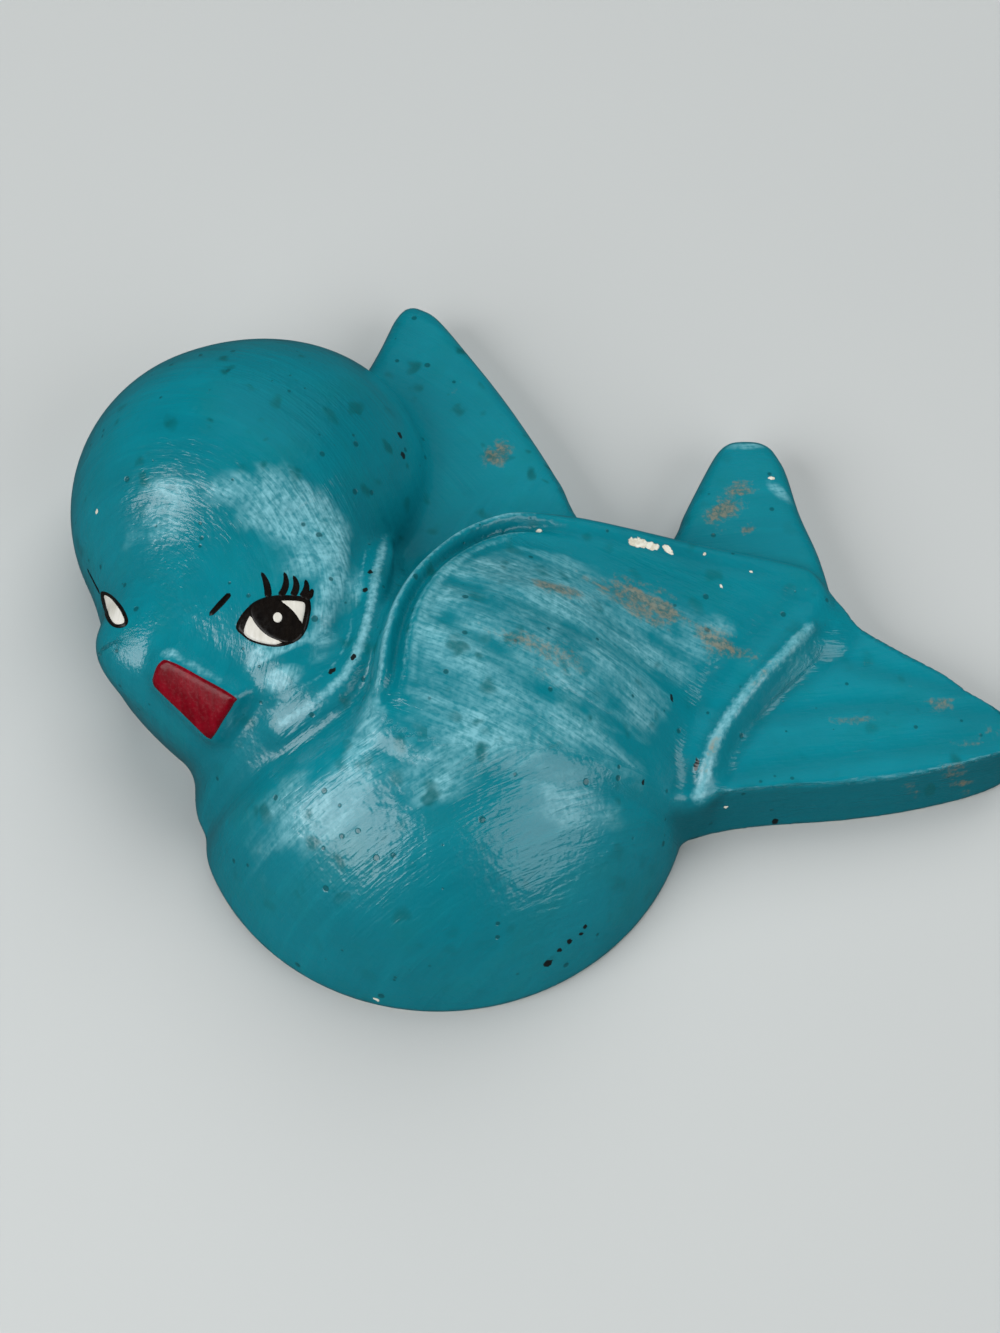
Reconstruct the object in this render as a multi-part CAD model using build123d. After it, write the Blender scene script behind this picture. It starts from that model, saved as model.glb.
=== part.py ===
from build123d import *
import math
import os

# A wall-hung chalkware bird: a hollow-backed plaster casting in half relief, its wire hanger and its paint.
# All sizes are millimetres. The back lies on z = 0, the relief stands up along +Z, and +Y is up on the wall.

# The large balls of the relief. The face leans on the body, the head stands over the face, and the crown swells
# out of the back of the head. The chin is cut flat.
BODY_CENTRE = Vector(-22.1, -40, -13)
BODY_RADIUS = 64.0
FACE_RADIUS = 37.0
FACE_BEARING = 148.45
FACE_RISE = 21.85
FACE_SUNK_IN_BODY = 39.2
HEAD_RADIUS = 45.5
HEAD_FROM_FACE = Vector(-4.5, 42, 2)
FOREHEAD_BLEND_RADIUS = 80.0
CROWN_RADIUS = 37.5
CROWN_FROM_HEAD = Vector(11.5, 9.5, 0)
CROWN_BLEND_RADIUS = 65.0
CHIN_BEARING = -134.0
CHIN_RISE = -13.5
CHIN_CUT_OFF = 3.8

# The neck: a ring hollowed out of the body round the head. It is deepest in front, and fades towards the wall.
NECK_BEARING = 146.7
NECK_RISE = 32.1
NECK_RING_RADIUS = 49.7
NECK_RING_SUNK = 6.3
NECK_HOLLOW_RADIUS = 10.0
NECK_DEPTH = 6.3

# Swellings of the face, each placed by a bearing and a rise, in degrees, seen from the centre of the face
JOWL_BEARING = -6.5
JOWL_RISE = 34.3
JOWL_RADIUS = 26.0
JOWL_STANDS_OUT = 10.3
NEAR_CHEEK_BEARING = -60.7
NEAR_CHEEK_RISE = 44.0
NEAR_CHEEK_STANDS_OUT = 6.0
FAR_CHEEK_BEARING = -165.0
FAR_CHEEK_RISE = 23.5
FAR_CHEEK_STANDS_OUT = 4.5
CHEEK_RADIUS = 11.5

# The ridge of the jowl: a piece of a ring that stands behind the near cheek
RIDGE_FROM_FACE = Vector(14.5, -2, 8)
RIDGE_BEARING = 158.6
RIDGE_RISE = 38.1
RIDGE_RING_RADIUS = 29.8
RIDGE_RADIUS = 4.0
RIDGE_START = 40.0
RIDGE_SWEEP = 135.0

# The near wing: a shoulder that lies on the body, and a ramp that runs out behind it
SHOULDER_FRONT = [(-40, -85), (-38.5, -50), (-35, -19), (-28, -2), (-20, 9)]
SHOULDER_BEHIND = [(36, 5), (38, -50), (10, -85)]
SHOULDER_SHIFT = Vector(1, 5, 2.5)
RAMP_TOP_EDGE = [(-24, 0), (-11.5, 15.8), (-1, 19.2), (37, 15.2), (77, 9.5)]
RAMP_REAR = [(77, 2), (43, -55)]
RAMP_UNDER_BELLY = [(20, -56), (-10, -20)]
RAMP_POINT = Vector(-3, 17, 34)
RAMP_UPWARD = Vector(0.14, -0.143, 1)
WING_EDGE_RADIUS = 2.5
RAMP_CORNER_RADIUS = 3.0

# The far wing and the two tail lobes are slabs with rounded top edges
FAR_WING_REACH = 110.0
FAR_WING_TIP = (-33.4, FAR_WING_REACH)
FAR_WING_LEADING_ROOT = (-65.5, 14)
FAR_WING_TRAILING_MIDDLE = (-7.2, 69)
FAR_WING_TRAILING_ROOT = (20, 0)
FAR_WING_THICKNESS = 19.0
FAR_WING_TIP_RADIUS = 6.5
UPPER_LOBE_REACH = 53.3
UPPER_LOBE_CORNERS = [(22.5, -10), (52.4, UPPER_LOBE_REACH), (67, UPPER_LOBE_REACH), (82.5, -16), (50, -24)]
UPPER_LOBE_THICKNESS = 18.0
UPPER_LOBE_CORNER_RADIUS = 6.0
TAIL_REACH = 122.0
LOWER_LOBE_TOP = [(20, -30), (62, 4), (80, -2), (TAIL_REACH, -30)]
LOWER_LOBE_BELOW = [(TAIL_REACH, -42.5), (92, -51), (50, -55), (42, -58), (35, -66), (10, -60)]
LOWER_LOBE_THICKNESS = 15.5
LOWER_LOBE_CORNER_RADIUS = 5.0
SLAB_EDGE_RADIUS = 4.0

# The open hollow in the back
WALL = 11.0

# The hanger: a wire staple set in the wet plaster across a pocket in the root of the far wing
POCKET_CENTRE = (-20, 45)
POCKET_WIDTH = 26.0
POCKET_HEIGHT = 18.0
POCKET_DEPTH = 10.0
POCKET_CORNER_RADIUS = 4.0
WIRE_DIAMETER = 2.0
WIRE_GRIP = 6.0
WIRE_LEG = 9.0
WIRE_BEND_RADIUS = 3.0
WIRE_FROM_BACK = 4.5
WIRE_FROM_POCKET_TOP = 6.5

# The painted eyes, brow and lashes
PAINT_THICKNESS = 0.3
NEAR_EYE_BEARING = -49.0
NEAR_EYE_RISE = 67.6
NEAR_EYE_HALF_WIDTH = 9.0
NEAR_EYE_HALF_HEIGHT = 6.8
NEAR_EYE_TILT = 10.0
FAR_EYE_BEARING = 180.0
FAR_EYE_RISE = 29.8
FAR_EYE_HALF_WIDTH = 5.0
FAR_EYE_HALF_HEIGHT = 7.4
EYE_LINE = 1.0
IRIS_HALF_WIDTH = 4.6
IRIS_HALF_HEIGHT = 6.3
IRIS_OFFSET = (1.6, 0.2)
GLINT_RADIUS = 0.9
LASH_COUNT = 5
LASH_LENGTH = 5.5
LASH_WIDTH = 1.1
LASH_FIRST_ANGLE = 98.0
LASH_ANGLE_STEP = 15.0
BROW_LENGTH = 7.5
BROW_WIDTH = 1.5
BROW_OFFSET = (-13.0, 3.7)
BROW_TILT = 46.0

# The beak: a blunt plaster wedge under red paint
BEAK_BEARING = -111.3
BEAK_RISE = 39.2
BEAK_TURN = -40.0
BEAK_BASE_LENGTH = 21.0
BEAK_BASE_HEIGHT = 14.5
BEAK_FRONT_LENGTH = 16.0
BEAK_FRONT_HEIGHT = 8.0
BEAK_FRONT_DROP = 1.5
BEAK_CORNER_RADIUS = 2.0
BEAK_STANDS_OUT = 5.0
BEAK_ROOT = 6.0

UP_THE_WALL = Vector(0, 1, 0)
OUT_OF_THE_WALL = Vector(0, 0, 1)


def facing(bearing, rise):
    """The direction with that bearing in the plane of the wall and that rise out of it."""
    flat = math.cos(math.radians(rise))
    turn = math.radians(bearing)
    return Vector(flat * math.cos(turn), flat * math.sin(turn), math.sin(math.radians(rise)))


FACE_CENTRE = BODY_CENTRE + facing(FACE_BEARING, FACE_RISE) * (BODY_RADIUS + FACE_RADIUS - FACE_SUNK_IN_BODY)
HEAD_CENTRE = FACE_CENTRE + HEAD_FROM_FACE
CROWN_CENTRE = HEAD_CENTRE + CROWN_FROM_HEAD


def face_plane(bearing, rise):
    """The plane that touches the face there, with its x along the face to the right."""
    normal = facing(bearing, rise)
    return Plane(FACE_CENTRE + normal * FACE_RADIUS, UP_THE_WALL.cross(normal), normal)


def ball(centre, radius):
    """A whole ball."""
    return Pos(centre) * Sphere(radius)


def swelling(bearing, rise, radius, stands_out, growth):
    """A ball sunk into the face so that it stands out of it that far, then grown."""
    return ball(FACE_CENTRE + facing(bearing, rise) * (FACE_RADIUS + stands_out - radius), radius + growth)


def ring_plane(centre, bearing, rise):
    """The plane of a ring whose axis has that bearing and rise, with its x level along the wall."""
    axis = facing(bearing, rise)
    return Plane(centre, OUT_OF_THE_WALL.cross(axis), axis)


def head_and_face(growth):
    """The two balls of the head joined by a hollow neck, turned about the line through both centres."""
    head_radius = HEAD_RADIUS + growth
    face_radius = FACE_RADIUS + growth
    blend_radius = FOREHEAD_BLEND_RADIUS - growth
    gap = (FACE_CENTRE - HEAD_CENTRE).length
    reach_head = head_radius + blend_radius
    reach_face = face_radius + blend_radius
    along = (gap**2 + reach_head**2 - reach_face**2) / (2 * gap)
    neck = Vector(along, math.sqrt(reach_head**2 - along**2))
    face_middle = Vector(gap, 0)
    meet_head = neck * (head_radius / reach_head)
    meet_face = face_middle + (neck - face_middle) * (face_radius / reach_face)
    round_head = (meet_head + Vector(-head_radius, 0)).normalized() * head_radius
    round_face = face_middle + (meet_face - face_middle + Vector(face_radius, 0)).normalized() * face_radius
    waist = neck + ((meet_head + meet_face) * 0.5 - neck).normalized() * blend_radius
    crown = (-head_radius, 0)
    chin = (gap + face_radius, 0)
    outline = [
        ThreePointArc(crown, round_head, meet_head),
        ThreePointArc(meet_head, waist, meet_face),
        ThreePointArc(meet_face, round_face, chin),
        Line(chin, crown),
    ]
    direction = (FACE_CENTRE - HEAD_CENTRE).normalized()
    profile = Plane(HEAD_CENTRE, direction, OUT_OF_THE_WALL.cross(direction)) * make_face(outline)
    return revolve(profile, Axis(HEAD_CENTRE, direction), 360)


def skull(growth):
    """The head and face with the ball of the crown, blended into the head where they meet."""
    head = head_and_face(growth)
    crown = Plane(CROWN_CENTRE, z_dir=CROWN_FROM_HEAD) * Sphere(CROWN_RADIUS + growth)
    both = head + crown
    return fillet(new_edges(head, crown, combined=both), CROWN_BLEND_RADIUS - growth)


def face_form(growth):
    """The head with its crown, its flat chin and the swellings of the face, all grown alike."""
    down = facing(CHIN_BEARING, CHIN_RISE)
    size = 2 * FACE_RADIUS
    under_chin = Box(size, size, size, align=(Align.CENTER, Align.CENTER, Align.MIN))
    chin = Plane(FACE_CENTRE + down * (FACE_RADIUS - CHIN_CUT_OFF + growth), z_dir=down) * under_chin
    form = skull(growth) - chin
    form += swelling(JOWL_BEARING, JOWL_RISE, JOWL_RADIUS, JOWL_STANDS_OUT, growth)
    form += swelling(NEAR_CHEEK_BEARING, NEAR_CHEEK_RISE, CHEEK_RADIUS, NEAR_CHEEK_STANDS_OUT, growth)
    form += swelling(FAR_CHEEK_BEARING, FAR_CHEEK_RISE, CHEEK_RADIUS, FAR_CHEEK_STANDS_OUT, growth)
    return form


def neck_hollow():
    """A ring round the head, sunk towards the wall, that cuts the ball of the body deepest in front."""
    front = BODY_RADIUS + NECK_HOLLOW_RADIUS - NECK_DEPTH
    along = math.sqrt(front**2 - (NECK_RING_RADIUS - NECK_RING_SUNK) ** 2)
    place = ring_plane(BODY_CENTRE, NECK_BEARING, NECK_RISE) * Pos(0, -NECK_RING_SUNK, along)
    return place * Torus(NECK_RING_RADIUS, NECK_HOLLOW_RADIUS)


def jowl_ridge():
    """A piece of a ring, from the near cheek up into the head."""
    place = ring_plane(FACE_CENTRE + RIDGE_FROM_FACE, RIDGE_BEARING, RIDGE_RISE) * Rot(0, 0, RIDGE_START)
    return place * Torus(RIDGE_RING_RADIUS, RIDGE_RADIUS, major_angle=RIDGE_SWEEP, align=None)


def slab(outline, thickness):
    """A flat-topped slab on the back plane whose top edge is rounded."""
    block = extrude(outline, thickness)
    return fillet(block.edges().group_by(Axis.Z)[-1], SLAB_EDGE_RADIUS)


def far_wing():
    """The wing behind the head: a straight leading edge, a bowed trailing edge and a rounded tip."""
    edges = [
        Line(FAR_WING_LEADING_ROOT, FAR_WING_TIP),
        ThreePointArc(FAR_WING_TIP, FAR_WING_TRAILING_MIDDLE, FAR_WING_TRAILING_ROOT),
        Line(FAR_WING_TRAILING_ROOT, FAR_WING_LEADING_ROOT),
    ]
    outline = make_face(edges)
    return slab(fillet(outline.vertices(), FAR_WING_TIP_RADIUS), FAR_WING_THICKNESS)


def tail_lobe(corners, corner_radius, thickness):
    """One lobe of the tail, with rounded corners."""
    outline = make_face(Polyline(*corners, close=True))
    return slab(fillet(outline.vertices(), corner_radius), thickness)


def wing_outline(curve, corners):
    """A smooth curve closed through the corners."""
    return make_face([Spline(*curve), Polyline(curve[-1], *corners, curve[0])])


def wing_shoulder():
    """The front of the near wing: the ball of the body, moved a little, inside the outline."""
    column = extrude(wing_outline(SHOULDER_FRONT, SHOULDER_BEHIND), 2 * BODY_RADIUS)
    shoulder = column & ball(BODY_CENTRE + SHOULDER_SHIFT, BODY_RADIUS)
    front = shoulder.faces().filter_by(GeomType.EXTRUSION)[0]
    return fillet(front.edges().sort_by(Axis.Z)[-1], WING_EDGE_RADIUS)


def wing_ramp():
    """The rear of the near wing: a slab under a sloping plane, with rounded corners and a rounded edge."""
    outline = wing_outline(RAMP_TOP_EDGE, RAMP_REAR + RAMP_UNDER_BELLY)
    column = extrude(fillet(outline.vertices(), RAMP_CORNER_RADIUS), 2 * BODY_RADIUS)
    size = 4 * BODY_RADIUS
    below = Box(size, size, size, align=(Align.CENTER, Align.CENTER, Align.MAX))
    ramp = column & (Plane(RAMP_POINT, z_dir=RAMP_UPWARD) * below)
    top = ramp.faces().sort_by(Axis.Z)[-1]
    return fillet(top.edges(), WING_EDGE_RADIUS)


def beak(skin):
    """The wedge of the beak, smaller all round by the skin."""
    shorter = 2 * skin
    place = face_plane(BEAK_BEARING, BEAK_RISE) * Rot(0, 0, BEAK_TURN)
    base = RectangleRounded(BEAK_BASE_LENGTH - shorter, BEAK_BASE_HEIGHT - shorter, BEAK_CORNER_RADIUS)
    front = RectangleRounded(BEAK_FRONT_LENGTH - shorter, BEAK_FRONT_HEIGHT - shorter, BEAK_CORNER_RADIUS)
    sections = [
        place * Pos(0, 0, -BEAK_ROOT) * base,
        place * Pos(0, -BEAK_FRONT_DROP, BEAK_STANDS_OUT - skin) * front,
    ]
    return loft(sections)


def eye_outlines(half_width, half_height):
    """The black outline with its iris, and the white between them."""
    whole = Ellipse(half_width, half_height)
    inner = Ellipse(half_width - EYE_LINE, half_height - EYE_LINE)
    iris = Pos(*IRIS_OFFSET) * Ellipse(IRIS_HALF_WIDTH, IRIS_HALF_HEIGHT)
    glint = Pos(*IRIS_OFFSET) * Circle(GLINT_RADIUS)
    black = (whole - inner) + (whole & iris) - glint
    white = (inner - iris) + glint
    return black, white


def lashes():
    """Tapered strokes that fan out from the upper lid of the near eye."""
    strokes = []
    for index in range(LASH_COUNT):
        turn = LASH_FIRST_ANGLE - index * LASH_ANGLE_STEP
        lid_x = (NEAR_EYE_HALF_WIDTH - EYE_LINE / 2) * math.cos(math.radians(turn))
        lid_y = (NEAR_EYE_HALF_HEIGHT - EYE_LINE / 2) * math.sin(math.radians(turn))
        stroke = make_face(Polyline((0, -LASH_WIDTH / 2), (LASH_LENGTH, 0), (0, LASH_WIDTH / 2), close=True))
        strokes.append(Pos(lid_x, lid_y) * Rot(0, 0, turn) * stroke)
    return strokes


def hanger_wire():
    """A staple: a straight bridge, and two legs turned into the plaster."""
    half_span = POCKET_WIDTH / 2 + WIRE_GRIP
    row = POCKET_CENTRE[1] + POCKET_HEIGHT / 2 - WIRE_FROM_POCKET_TOP
    left = POCKET_CENTRE[0] - half_span
    right = POCKET_CENTRE[0] + half_span
    deep = WIRE_FROM_BACK + WIRE_LEG
    bridge = [(left, row, WIRE_FROM_BACK), (right, row, WIRE_FROM_BACK)]
    path = FilletPolyline((left, row, deep), *bridge, (right, row, deep), radius=WIRE_BEND_RADIUS)
    section = Plane(path @ 0, z_dir=path % 0) * Circle(WIRE_DIAMETER / 2)
    return sweep(section, path)


def main():
    reach = 4 * (HEAD_RADIUS + BODY_RADIUS)
    front_half = Box(reach, reach, reach, align=(Align.CENTER, Align.CENTER, Align.MIN))

    # The casting: one pour of plaster, hollow behind
    body = ball(BODY_CENTRE, BODY_RADIUS) - neck_hollow()
    relief = face_form(0) + jowl_ridge() + body + wing_shoulder() + wing_ramp() + far_wing()
    relief += tail_lobe(UPPER_LOBE_CORNERS, UPPER_LOBE_CORNER_RADIUS, UPPER_LOBE_THICKNESS)
    relief += tail_lobe(LOWER_LOBE_TOP + LOWER_LOBE_BELOW, LOWER_LOBE_CORNER_RADIUS, LOWER_LOBE_THICKNESS)
    relief += beak(PAINT_THICKNESS)
    hollow = head_and_face(-WALL) + ball(BODY_CENTRE, BODY_RADIUS - WALL)
    pocket_outline = RectangleRounded(POCKET_WIDTH, POCKET_HEIGHT, POCKET_CORNER_RADIUS)
    pocket = Pos(*POCKET_CENTRE) * extrude(pocket_outline, POCKET_DEPTH)
    wire = hanger_wire()
    casting = (relief & front_half) - hollow - pocket - wire

    # The paint: thin films that lie on the skin of the face
    coat = face_form(PAINT_THICKNESS) - relief
    near_eye = face_plane(NEAR_EYE_BEARING, NEAR_EYE_RISE)
    far_eye = face_plane(FAR_EYE_BEARING, FAR_EYE_RISE)
    near_black, near_white = eye_outlines(NEAR_EYE_HALF_WIDTH, NEAR_EYE_HALF_HEIGHT)
    far_black, far_white = eye_outlines(FAR_EYE_HALF_WIDTH, FAR_EYE_HALF_HEIGHT)
    for stroke in lashes():
        near_black += stroke
    brow = Pos(*BROW_OFFSET) * SlotOverall(BROW_LENGTH, BROW_WIDTH, rotation=BROW_TILT)
    tilt = Rot(0, 0, NEAR_EYE_TILT)

    def film(plane, marks):
        """The part of the coat that lies under the marks."""
        return extrude(plane * marks, FACE_RADIUS / 3, both=True) & coat

    nodes = {
        "bird_casting": casting,
        "hanger_wire": wire,
        "beak_paint": beak(0) - relief,
        "near_eye_black": film(near_eye, tilt * near_black + brow),
        "near_eye_white": film(near_eye, tilt * near_white),
        "far_eye_black": film(far_eye, far_black),
        "far_eye_white": film(far_eye, far_white),
    }

    # The origin is under the middle of the casting
    box = casting.bounding_box()
    middle = Pos(-(box.min.X + box.max.X) / 2, -(box.min.Y + box.max.Y) / 2)
    os.makedirs("parts", exist_ok=True)
    for name, shape in nodes.items():
        placed = middle * shape
        export_step(placed, f"parts/{name}.step")
        size = f"{len(placed.solids())} solids, {placed.volume / 1000:.3f} cm3"
        print(f"{name}: {size}, valid {placed.is_valid}")
    print("moved by", middle.position, "centre of mass", (middle * casting).center(CenterOf.MASS))


main()
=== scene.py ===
import functools
import math

import bpy
import numpy as np
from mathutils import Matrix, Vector


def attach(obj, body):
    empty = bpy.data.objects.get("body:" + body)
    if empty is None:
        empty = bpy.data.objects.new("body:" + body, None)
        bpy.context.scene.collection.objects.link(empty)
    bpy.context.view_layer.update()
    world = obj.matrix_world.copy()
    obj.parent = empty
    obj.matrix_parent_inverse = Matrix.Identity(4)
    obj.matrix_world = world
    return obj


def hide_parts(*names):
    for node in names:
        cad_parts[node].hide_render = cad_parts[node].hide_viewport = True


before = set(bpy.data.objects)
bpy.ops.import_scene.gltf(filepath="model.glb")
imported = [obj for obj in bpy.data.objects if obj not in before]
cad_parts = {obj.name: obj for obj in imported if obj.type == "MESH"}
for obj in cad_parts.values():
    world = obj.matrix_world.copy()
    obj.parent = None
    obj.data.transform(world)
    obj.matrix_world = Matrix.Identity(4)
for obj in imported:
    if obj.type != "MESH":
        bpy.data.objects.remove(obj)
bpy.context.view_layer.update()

bl_info = {
    "name": "Chalkware bird wall plaque",
    "version": (1, 0, 0),
    "blender": (4, 5, 0),
    "location": "View3D > Sidebar > Chalk Bird",
    "description": "Dresses the chalkware bird: painted casting, beak, eyes, hanger wire and studio",
    "category": "Object",
}

MM = 0.001

# The modelled bird, in millimetres, in the frame of the packed solids: the wall is the plane z = 0,
# +Z comes out of it, +Y is up the wall and +X goes to the tail.

BODY = ((-22.6, -40.0, -13.0), 64.0)
HEAD = ((-76.0, 32.0, 12.0), 45.5)
FACE = ((-71.5, -10.0, 10.0), 37.0)
FOREHEAD_BLEND = 80.0
CROWN = ((-64.5, 41.5, 12.0), 37.5)
JOWL = ((-54.0, -12.0, 22.0), 26.0)
NEAR_CHEEK = ((-57.0, -29.5, 33.7), 11.5)
FAR_CHEEK = ((-96.5, -18.8, 26.4), 10.5)
BROW_BALL = ((-68.1, 21.9, 24.1), 30.0)
CHIN_NORMAL = (-0.678, -0.698, -0.232)
CHIN_REACH = 86.2
HEAD_SWELLS = ((CROWN, 8), (BROW_BALL, 5), (FAR_CHEEK, 10))
CHIN_FILLET = 10
JOWL_FILLET = 9
CHEEK_FILLET = 4
RIDGE_FILLET = 3
CREASE_WIDTH = 2.8

# The wing: beads along its front edge (how far inside, width, share of the rim's height), the point and
# the slopes of its ramp, and how far it stands out of the breast. Then the slabs: height, fall and edge.
RIM_BEADS = ((3, 1.6, 1), (5.8, 1.3, -0.8), (8.6, 1.7, 0.45))
RAMP_AT = (-3, 17, 34.3)
RAMP_SLOPES = (0.14, 0.143)
RAMP_FILLET = 10
WING_RAISED = 4.2
WING_EDGE = 4
TAIL_LINES = (("tail_low", 1), ("tail_mid", 1), ("tail_high", 0.9))
TAIL_FALL_FROM = 52
TAIL_FALL = 0.02
TAIL_DRAFT = 0.28
LOWER_LOBE_HEIGHT = 15.5
UPPER_LOBE_HEIGHT = 18
FAR_WING_HEIGHT = 20
FAR_WING_FALL_FROM = 41
FAR_WING_FALL = 0.05
SLAB_EDGE = 6

OUTLINES = {
    "far_wing": [
        (-65, 14), (-60, 38), (-50, 66), (-42.5, 85), (-40.2, 91.5), (-38.3, 97), (-35.9, 101),
        (-33.1, 102.3), (-30.2, 101.6), (-25, 97.6), (-15.8, 83.6), (-7.4, 69.8), (0, 56.2),
        (6.5, 43), (10.5, 33), (17, 5), (-30, 0)],
    "upper_lobe": [
        (22, -8), (32, 12), (38.7, 25.3), (40.7, 30.7), (46.8, 43.8), (50.5, 50.8), (53.1, 53.5),
        (56.3, 54.6), (61.6, 54.5), (65.3, 52.6), (67.5, 49), (69.4, 43.6), (71.9, 30.7),
        (75.7, 18), (78, 5.6), (80, -8), (60, -22), (35, -22)],
    "lower_lobe": [
        (20, -30), (40, 0), (62, 4), (74, 4), (79.6, 0.7), (82.4, -2.7), (86, -5.7), (90.6, -8.9),
        (95.1, -11.9), (104.7, -18), (110.8, -23.2), (114.6, -25.9), (118, -28.6), (120.8, -32.5),
        (121.4, -37), (120, -41), (116.5, -43.6), (107.3, -47), (91.9, -50.6), (76.3, -52.8),
        (61.7, -53.9), (51.7, -55), (45.4, -56.2), (40, -57.4), (30, -58), (20, -58), (10, -50)],
    "wing": [
        (-39, -49), (-38, -38), (-37, -28), (-34, -15), (-28, -2), (-20, 9.5), (-11, 16.3), (-2, 19.2),
        (11, 19.2), (23, 17.6), (37, 15.2), (52, 12.8), (67, 10.6), (73, 8.4), (76, 1), (72, -11),
        (63, -22), (56, -30.5), (51, -37.5), (47.8, -43.5), (44.4, -51.5), (42, -54.5), (37, -55.5),
        (28, -55), (2, -57), (-23, -58)],
}
LINES = {
    "ridge": [(-8, -15, 0), (12, -9, 0), (37, -13, 0), (60, -23, 0)],
    "groove_low": [(-20, -25, 0), (1, -39, 0), (16, -44, 0), (34, -45, 0)],
    "groove_mid": [(-18, -13, 0), (6, -21, 0), (30, -27, 0), (52, -35, 0)],
    "jowl": [
        (-37, 18, 23), (-36.8, 8, 33), (-37.8, -6, 41.4), (-39.5, -21, 43.8), (-41.8, -30, 43),
        (-45.6, -36, 40.4), (-52.3, -40.7, 36.8), (-59.7, -43.7, 33)],
    "neck": [
        (-27, 26, 3), (-30, 14, 4.5), (-33, -4, 5), (-35.5, -18, 5.5), (-38.5, -31, 6.5), (-44, -42, 7),
        (-54, -48, 6.5), (-65, -52, 4.5), (-78, -56, 2)],
    "crease": [
        (-66, -38.5, 0.2), (-59.5, -38.6, 1.6), (-54.5, -36.8, 2), (-50.2, -33, 2), (-47.6, -27, 1.9),
        (-46, -19, 1.7), (-44.8, -10, 1.5), (-43.4, 0, 1.4), (-42, 9, 0.6)],
    "rear": [
        (70.5, -8, 0), (60, -19.5, 0), (50.5, -30.2, 0), (45.2, -39, 0), (41.6, -49, 0), (40, -54, 0)],
    "tail_low": [(50, -47, 0), (82, -41, 0), (120, -35, 0)],
    "tail_mid": [(58, -31, 0), (87, -27, 0), (118, -30, 0)],
    "tail_high": [(70, -13, 0), (87, -17, 0), (108, -23, 0)],
}
MAP_LOW = (-128.0, -112.0)
MAP_HIGH = (130.0, 112.0)
MAP_STEP = 0.7
SKIN_LOW = (-127, -107, -3)
SKIN_HIGH = (128, 107, 61)

# The beak is a blunt wedge on its own small plane: where it stands, which way it looks, and its plan.
BEAK_AT = (-81.9, -36.7, 33.4)
BEAK_NORMAL = (-0.2815, -0.722, 0.632)
BEAK_PLAN = [
    (-6.6, 6.6), (-5.6, 9.2), (-3.1, 12), (0, 12.2), (13.9, -0.4), (12.8, -2), (4.2, -9.2), (2.2, -9)]
BEAK_PAINT = [
    (-6.2, 6.6), (-5.4, 9.2), (-3, 11.6), (-0.1, 11.7), (6.7, 5.9), (13.1, -0.2), (12.4, -1.9), (8.3, -5.3),
    (4.2, -8.6), (2.5, -8.3), (-1.6, -1.2)]
BEAK_LINE = ((-5, 9.4), (8.6, -5))
BEAK_HEIGHT = 3.6
BEAK_PAINT_MIDDLE = (2.6, 2.2)
BEAK_COAT = 0.10
BEAK_FILLET = 4.0

NEAR_EYE_AT = (-62.4, -21.6, 44.2)
NEAR_EYE_NORMAL = (0.158, -0.277, 0.948)
NEAR_LIDS = [
    (-8.4, -1.4), (-7.4, 1.7), (-5, 4.6), (-2.8, 5.9), (-0.9, 6.5), (1.4, 6.9), (3.8, 6.9), (6.2, 6.8),
    (8.1, 6.4), (8.8, 4.4), (8.7, 2), (8.2, -1.1), (6.7, -3.8), (4.2, -5.4), (1.4, -6), (-1.5, -5.6),
    (-4.6, -4.6), (-6.6, -3.3)]
NEAR_WHITE = [
    (-6.5, -1.7), (-5.7, 1), (-4.2, 3.2), (-2.4, 4.6), (-0.4, 5.2), (2, 5.5), (4, 5.6), (6.2, 5.5),
    (7.3, 5.1), (7.5, 3.6), (7.3, 1.5), (6.8, -1), (5.7, -3), (3.8, -4.4), (1.4, -5.4), (-1.4, -5.1),
    (-4.4, -4.2), (-6.1, -3.1)]
NEAR_MIDDLE = (0.4, 0.4)
IRIS_AT = (0.9, 0.7)
IRIS_HALF_SIZES = (7.6, 4.4)
IRIS_TILT = -37.0
GLINT_AT = (1.2, 1.2)
GLINT_HALF_SIZES = (1.15, 1.35)
GLINT_TILT = 10
LASHES = [
    ((-1.4, 6.0), (-2.0, 9.6), (-3.5, 12.9)), ((1.2, 6.5), (2.5, 9.5), (1.9, 13.1)),
    ((4.2, 6.6), (5.0, 9.4), (4.1, 12.2)), ((6.3, 6.5), (7.4, 8.8), (7.0, 11.3)),
    ((7.3, 6.3), (8.4, 7.4), (8.8, 9.0))]
LASH_WIDTHS = (1.8, 1.6, 0.7)
BROW = ((-14.9, 1.5), (-12.4, 4.6), (-10.4, 7.2))
BROW_WIDTHS = (1.2, 1.55, 1.35)
FAR_EYE_AT = (-103.0, -10.6, 34.7)
FAR_EYE_NORMAL = (-0.627, 0.072, 0.776)
FAR_LIDS = [
    (-10.7, 10.4), (-7.6, 9), (-2.1, 4.6), (3.7, -1.4), (6.5, -6.2), (5.5, -8), (1.9, -6.8), (-3.9, -0.6),
    (-8.9, 4.6), (-11.0, 8)]
FAR_LIDS_MIDDLE = (-1, 1)
FAR_WHITE_MIDDLE = (0, 0.5)
FAR_LASH = ((-16.2, 19.4), (-14.4, 15.8), (-11.2, 10.4))
FAR_LASH_WIDTHS = (0.5, 0.7, 0.8)
FAR_WHITE = [
    (-8.5, 8.6), (-3.7, 5), (2.6, -1.5), (5.4, -5.8), (4.9, -7), (2.2, -6), (-2.8, 0.2), (-6.9, 4.8)]

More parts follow.
